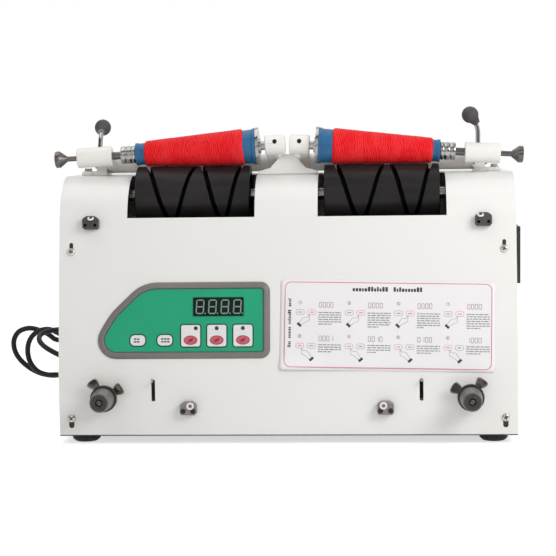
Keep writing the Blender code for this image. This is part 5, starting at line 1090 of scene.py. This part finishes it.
def add_cell(inks, rng, column, row):
    """A numbered cell: four figures, two keys, a hand that presses one of them, and lines of text."""
    x, y = CELL_X + CELL_STEP_X * column, CELL_Y + CELL_STEP_Y * row
    inks["grey"].append((ellipse(x + 5.6, y, 2.5, 2.5, 20), ellipse(x + 5.6, y, 2.0, 2.0, 20)))
    inks["black"] += sheet_digit(str(1 + column * 2 + row), x + 4.9, y + 1.2, 1.4, 2.4, 0.45)
    for place in range(4):
        marked = place == 3 - column
        figure = "1" if marked and row == 1 else "0"
        ink = inks["pink" if marked else "grey"]
        ink += sheet_digit(figure, x + 32.2 + 5.2 * place, y + 6.4, 3.3, 6.8, 0.75)
    key_y = y + KEY_DOWN
    for slot, aside in enumerate(KEY_ASIDE):
        key_x = x + aside
        ink = inks["grey" if slot == row else "pink"]
        ink.append(round_frame(key_x, key_y, 11.4, 7.2, 2.6, 0.5))
        ink.append(bar(key_x - 2.7, key_y - 0.6, key_x + 2.7, key_y + 0.6))
    lines, sleeve = hand(x, key_y, row)
    inks["grey"] += lines
    inks["black"].append(sleeve)
    count = 4 if row == 1 else 6 if column == 0 else 7
    text_x, text_y = x + TEXT_ASIDE, y + (11.0 if row == 1 else 12.9)
    for line in range(count):
        width = TEXT_WIDTH if line < count - 1 else rng.uniform(10, 20)
        low = text_y + TEXT_STEP * line
        for start, word in runs(rng, text_x, text_x + width, 2.5, 7.0, 1.0, 1.0):
            inks["grey"].append(bar(start, low, start + word, low + TEXT_HEIGHT))


def make_sheet():
    """The paper and what is printed on it in three inks."""
    make_paper()
    rng = random.Random(5)
    inks = {"pink": [BORDER], "grey": [], "black": title_blocks(rng)}
    for column in range(4):
        for row in range(2):
            add_cell(inks, rng, column, row)
    for name, ink, lift in INK_PIECES:
        add_flat("sheet_" + name, inks[ink], lambda a, b: sheet_point(a, b, lift), "ink_" + ink)


# Small adaptors, screws, eyelets and ears

ADAPTOR_BORE, ADAPTOR_RING, ADAPTOR_WAIST, ADAPTOR_NOSE = 0.0059, 0.0125, 0.0110, 0.0092
ADAPTOR_OUTER_END, ADAPTOR_FLOOR, ADAPTOR_NOSE_END = 0.1064, 0.0964, 0.0745
ADAPTOR_SEAT, ADAPTOR_SEAT_RADIUS = 0.0853, 0.0127
# Middle and half width of each turned ring along the spindle
ADAPTOR_RINGS = ((0.1029, 0.0035), (0.0950, 0.0037), (0.0880, 0.0026))
# Height, radius and turns in degrees; the slot's middle above it, width, height and corner; and the face
CASING_SCREWS = (
    ("upper", 0.1692, 0.0052, (20, 50), (0.0045, 0.0052, 0.0165, 0.0026), on_lean, OUT),
    ("lower", 0.0365, 0.0054, (40, 15), (-0.0048, 0.0072, 0.0175, 0.0034), on_front, FRONT),
)
CASING_SCREW_X, SCREW_LIFT, SLOT_LIFT = 0.2982, 0.0002, 0.00008
REAR_SCREW, REAR_SCREW_INSET, REAR_SCREW_TURNS_DEG = 0.0042, 0.010, (25, 56, 87)
EYELETS_ASIDE = {"left_": (0.0008, 0.0030), "right_": (-0.0042, -0.0030)}
# Middle radius and thickness
UPPER_EYELET, LOWER_EYELET, COLLAR = (0.0034, 0.0013), (0.0038, 0.0015), (0.0078, 0.0005)
UPPER_EYELET_DOWN, UPPER_EYELET_LIFT, UPPER_EYELET_OUT = 0.0036, 0.0006, OUT * 0.62 + UP * 0.78
LOWER_EYELET_LIFT, LOWER_EYELET_UP = 0.0010, 0.0126
GUIDE_SCREWS, GUIDE_SCREW_LIFT, GUIDE_SCREW_UP = (("a", -0.0068), ("b", 0.0068)), 0.0001, 0.0056
SOCKET_PROFILE = (
    (0.0036, 0.0), (0.0036, 0.0009), (0.0031, 0.0014), (0.0019, 0.0014), (0.0016, 0.0003), (0.0, 0.0003))
STUB_PROFILE = ((0.0036, 0.0), (0.0036, 0.0018), (0.0030, 0.0025), (0.0, 0.0027))
STUB_TURN_DEG, STUB_DEPTH, PLATE_FRONT = 35.0, 0.0032, 0.0127
STUB_SLOT, STUB_SLOT_LIFT = bar(-0.0034, -0.0009, 0.0034, 0.0009), 0.0029
EAR_TURNS_DEG = (31.0, 126.0)
# Distance from the post and aside, round the ear and then down its middle, and the faces between
EAR_OUTLINE = (
    (0.0150, -0.0040), (0.0205, -0.0066), (0.0272, -0.0098), (0.0296, -0.0056), (0.0302, 0.0),
    (0.0296, 0.0056), (0.0272, 0.0098), (0.0205, 0.0066), (0.0150, 0.0040),
)
EAR_MIDDLES = (0.0150, 0.0205, 0.0268)
EAR_FACES = ((0, 1, 10, 9), (1, 2, 11, 10), (2, 3, 4, 11), (11, 4, 5, 6), (10, 11, 6, 7), (9, 10, 7, 8))
EAR_CURL_FROM, EAR_CURL, EAR_THICKNESS, EAR_RISE, EAR_MIDDLE_RISE = 0.019, 34.0, 0.0012, 0.0014, 0.0010
FOOT_LENGTH, FOOT_DEPTH, FOOT_CORNER, FOOT_OVERLAP = 0.0215, 0.036, 0.008, 0.0006
FOOT_STEPS = ((0.0, 0.0001), (0.0, 0.0035), (0.0008, 0.0046), (0.0022, 0.0052))
WASHER_PROFILE = ((0.0068, 0.0), (0.0068, 0.0010), (0.0, 0.0010))
BOLT_PROFILE = ((0.0054, 0.0010), (0.0054, 0.0042), (0.0047, 0.0050), (0.0, 0.0051))
BOLT_OUTWARD, BOLT_FORWARD, BOLT_TURN = 0.0020, 0.004, 0.3


def make_small_adaptors():
    """The small adaptors' turned rings with rounded edges and soft waists."""
    profile = [(0.0, ADAPTOR_FLOOR), (ADAPTOR_BORE, ADAPTOR_FLOOR), (ADAPTOR_BORE, ADAPTOR_OUTER_END)]
    for middle, half in ADAPTOR_RINGS:
        for step in range(9):
            angle = math.pi * step / 8
            radius = ADAPTOR_WAIST + (ADAPTOR_RING - ADAPTOR_WAIST) * math.sin(angle) ** 0.45
            profile.append((radius, middle + half * math.cos(angle)))
    profile += [(ADAPTOR_SEAT_RADIUS, ADAPTOR_SEAT), (ADAPTOR_NOSE, ADAPTOR_NOSE_END)]
    profile.append((0.0, ADAPTOR_NOSE_END))
    for side, prefix in SIDES:
        place = spindle_frame(side)
        piece = lathe(prefix + "turned_adaptor", profile, place, "turned_steel", prefix + "small_end", 64)
        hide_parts(prefix + "small_adaptor")


def pan_screw(name, origin, out, radius, turn_deg):
    """A pan head with a cross recess."""
    place = frame_at(origin, out) @ Matrix.Rotation(math.radians(turn_deg), 4, "Z")
    height = radius * 0.62
    profile = [(radius, 0.0)] + dome(radius, height * 0.35, height * 0.65)
    lathe(name, profile, place, "screw_steel", "machine", 32)
    arm, half = radius * 0.56, radius * 0.13
    cross = []
    for x, y in ((1, 0), (0, 1), (-1, 0), (0, -1)):
        for along, aside in ((arm, -half), (arm, half), (half, half)):
            cross.append((x * along - y * aside, y * along + x * aside))
    # Painted shade in the cross recess
    add_flat(name + "_recess", [cross], lifted(place, height * 1.02), "recess_dark")


def make_casing_screws():
    """Four cover screws, each in an upright slot."""
    for side, prefix in SIDES:
        x = side * CASING_SCREW_X
        for level, height, radius, turns, (above, *size), place, out in CASING_SCREWS:
            name = prefix + level
            slot = round_box(x, height + above, *size)
            # Painted shade in the slot
            add_flat(name + "_slot", [slot], lambda a, b: place(a, b, SLOT_LIFT), "recess_dark")
            pan_screw(name + "_screw", place(x, height, SCREW_LIFT), out, radius, turns[side > 0])


def make_rear_screws():
    """Six screws hold the rear panel: three down each side."""
    low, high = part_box("rear_panel")
    rise = high[2] - low[2] - 2 * REAR_SCREW_INSET
    for prefix, x in (("left_", low[0] + REAR_SCREW_INSET), ("right_", high[0] - REAR_SCREW_INSET)):
        for index, turn_deg in enumerate(REAR_SCREW_TURNS_DEG):
            place = Vector((x, high[1] + SCREW_LIFT / 2, low[2] + REAR_SCREW_INSET + rise * index / 2))
            pan_screw(prefix + "rear_screw_" + str(index + 1), place, -FRONT, REAR_SCREW, turn_deg)


def make_guide_details():
    """Ceramic eyelets on the guides and black socket screws in the lower ones."""
    for prefix, (upper_aside, lower_aside) in EYELETS_ASIDE.items():
        face = face_of(prefix + "upper_guide")
        up = face.up + face.height / 2 - UPPER_EYELET_DOWN
        place = frame_at(on_lean(face.x + upper_aside, up, face.lift + UPPER_EYELET_LIFT), UPPER_EYELET_OUT)
        ring(prefix + "upper_eyelet", place, *UPPER_EYELET, "ceramic_pink")
        low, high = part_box(prefix + "lower_guide")
        foot = Vector(((low[0] + high[0]) / 2, low[1], low[2]))
        place = frame_at(foot + Vector((lower_aside, -LOWER_EYELET_LIFT, LOWER_EYELET_UP)), FRONT)
        ring(prefix + "lower_eyelet", place, *LOWER_EYELET, "ceramic_pink")
        for letter, aside in GUIDE_SCREWS:
            place = frame_at(foot + Vector((aside, -GUIDE_SCREW_LIFT, GUIDE_SCREW_UP)), FRONT)
            name = prefix + "lower_guide_screw_" + letter
            lathe(name, SOCKET_PROFILE, place, "recess_dark", "machine", 24)


def make_tension_details():
    """The slotted post end in each knob's recess, the knob's collar and its plate's ears."""
    for side, prefix in SIDES:
        front = Vector((side * TENSION_X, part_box(prefix + "tension_knob")[0][1], TENSION_Z))
        turn = Matrix.Rotation(math.radians(-STUB_TURN_DEG * side), 4, "Z")
        place = frame_at(front - FRONT * STUB_DEPTH, FRONT) @ turn
        knob = prefix + "knob"
        lathe(knob + "_stub", STUB_PROFILE, place, "dark_steel", knob, 24)
        # Painted shade in the post end's slot
        add_flat(knob + "_slot", [STUB_SLOT], lifted(place, STUB_SLOT_LIFT), "recess_dark", knob)
        ring(knob + "_collar", frame_at(front + FRONT * KNOB_RIM, FRONT), *COLLAR, "ring_black", knob)
        plate = Matrix.Translation((side * TENSION_X, FRONT_Y - PLATE_FRONT, TENSION_Z))
        plate = plate @ Matrix.Rotation(math.pi / 2, 4, "X")
        for index, angle_deg in enumerate(EAR_TURNS_DEG):
            angle = math.radians(angle_deg if side < 0 else 180.0 - angle_deg)
            ear_plate(prefix + "ear_" + str(index + 1), plate @ Matrix.Rotation(angle, 4, "Z"))


def ear_plate(name, place):
    """A fan-shaped ear of pressed steel over the plate's own, curled forward at its end."""
    points = [(along, aside, EAR_RISE) for along, aside in EAR_OUTLINE]
    points += [(along, 0.0, EAR_MIDDLE_RISE) for along in EAR_MIDDLES]
    vertices = []
    for along, aside, rise in points:
        curl = max(along - EAR_CURL_FROM, 0.0) ** 2 * EAR_CURL
        vertices.append(place @ Vector((along, aside, rise + curl)))
    piece = add_piece(name, plain_mesh(name, vertices, EAR_FACES), "ear_steel", smooth=True)
    rounded = piece.modifiers.new("rounded", "SUBSURF")
    rounded.levels = 2
    rounded.render_levels = 2
    thick = piece.modifiers.new("thickness", "SOLIDIFY")
    thick.thickness = EAR_THICKNESS
    thick.offset = 0.0


def make_pedestal_feet():
    """The outer pedestals' cast feet on the deck, each held by a hex bolt on a washer."""
    outline = round_box(0.0, 0.0, FOOT_LENGTH, FOOT_DEPTH, FOOT_CORNER, 8)
    count = len(outline)
    last = (len(FOOT_STEPS) - 1) * count
    faces = grid_faces(len(FOOT_STEPS), count) + [tuple(range(last, last + count))]
    for side, prefix in SIDES:
        low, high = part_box(prefix + "pedestal")
        inner_x = high[0] if side > 0 else low[0]
        middle = Vector((inner_x + side * (FOOT_LENGTH / 2 - FOOT_OVERLAP), PIVOT_Y, low[2]))
        vertices = []
        for inset, height in FOOT_STEPS:
            shrink_x, shrink_y = 1.0 - 2 * inset / FOOT_LENGTH, 1.0 - 2 * inset / FOOT_DEPTH
            vertices += [middle + Vector((a * shrink_x, b * shrink_y, height)) for a, b in outline]
        mesh = outward_mesh(prefix + "pedestal_foot", vertices, faces)
        add_piece(prefix + "pedestal_foot", mesh, "cast_white", smooth=True)
        mesh.set_sharp_from_angle(angle=math.radians(MOULDED_SHARP_DEG))
        top = FOOT_STEPS[-1][1]
        bolt = Matrix.Translation(middle + Vector((side * BOLT_OUTWARD, -BOLT_FORWARD, top)))
        lathe(prefix + "foot_washer", WASHER_PROFILE, bolt, "screw_steel", "machine", 28)
        turned = bolt @ Matrix.Rotation(BOLT_TURN, 4, "Z")
        lathe(prefix + "foot_bolt", BOLT_PROFILE, turned, "screw_steel", "machine", 6, smooth=False)


make_stage()
LOOKS = make_materials()
LOOKS["yarn_red"] = make_yarn_material()
dress_nodes()
mark_details()
make_lead()
for side, prefix in SIDES:
    make_yarn(side, prefix)
make_panel_marks()
make_sheet()
make_small_adaptors()
make_casing_screws()
make_rear_screws()
make_guide_details()
make_tension_details()
make_pedestal_feet()
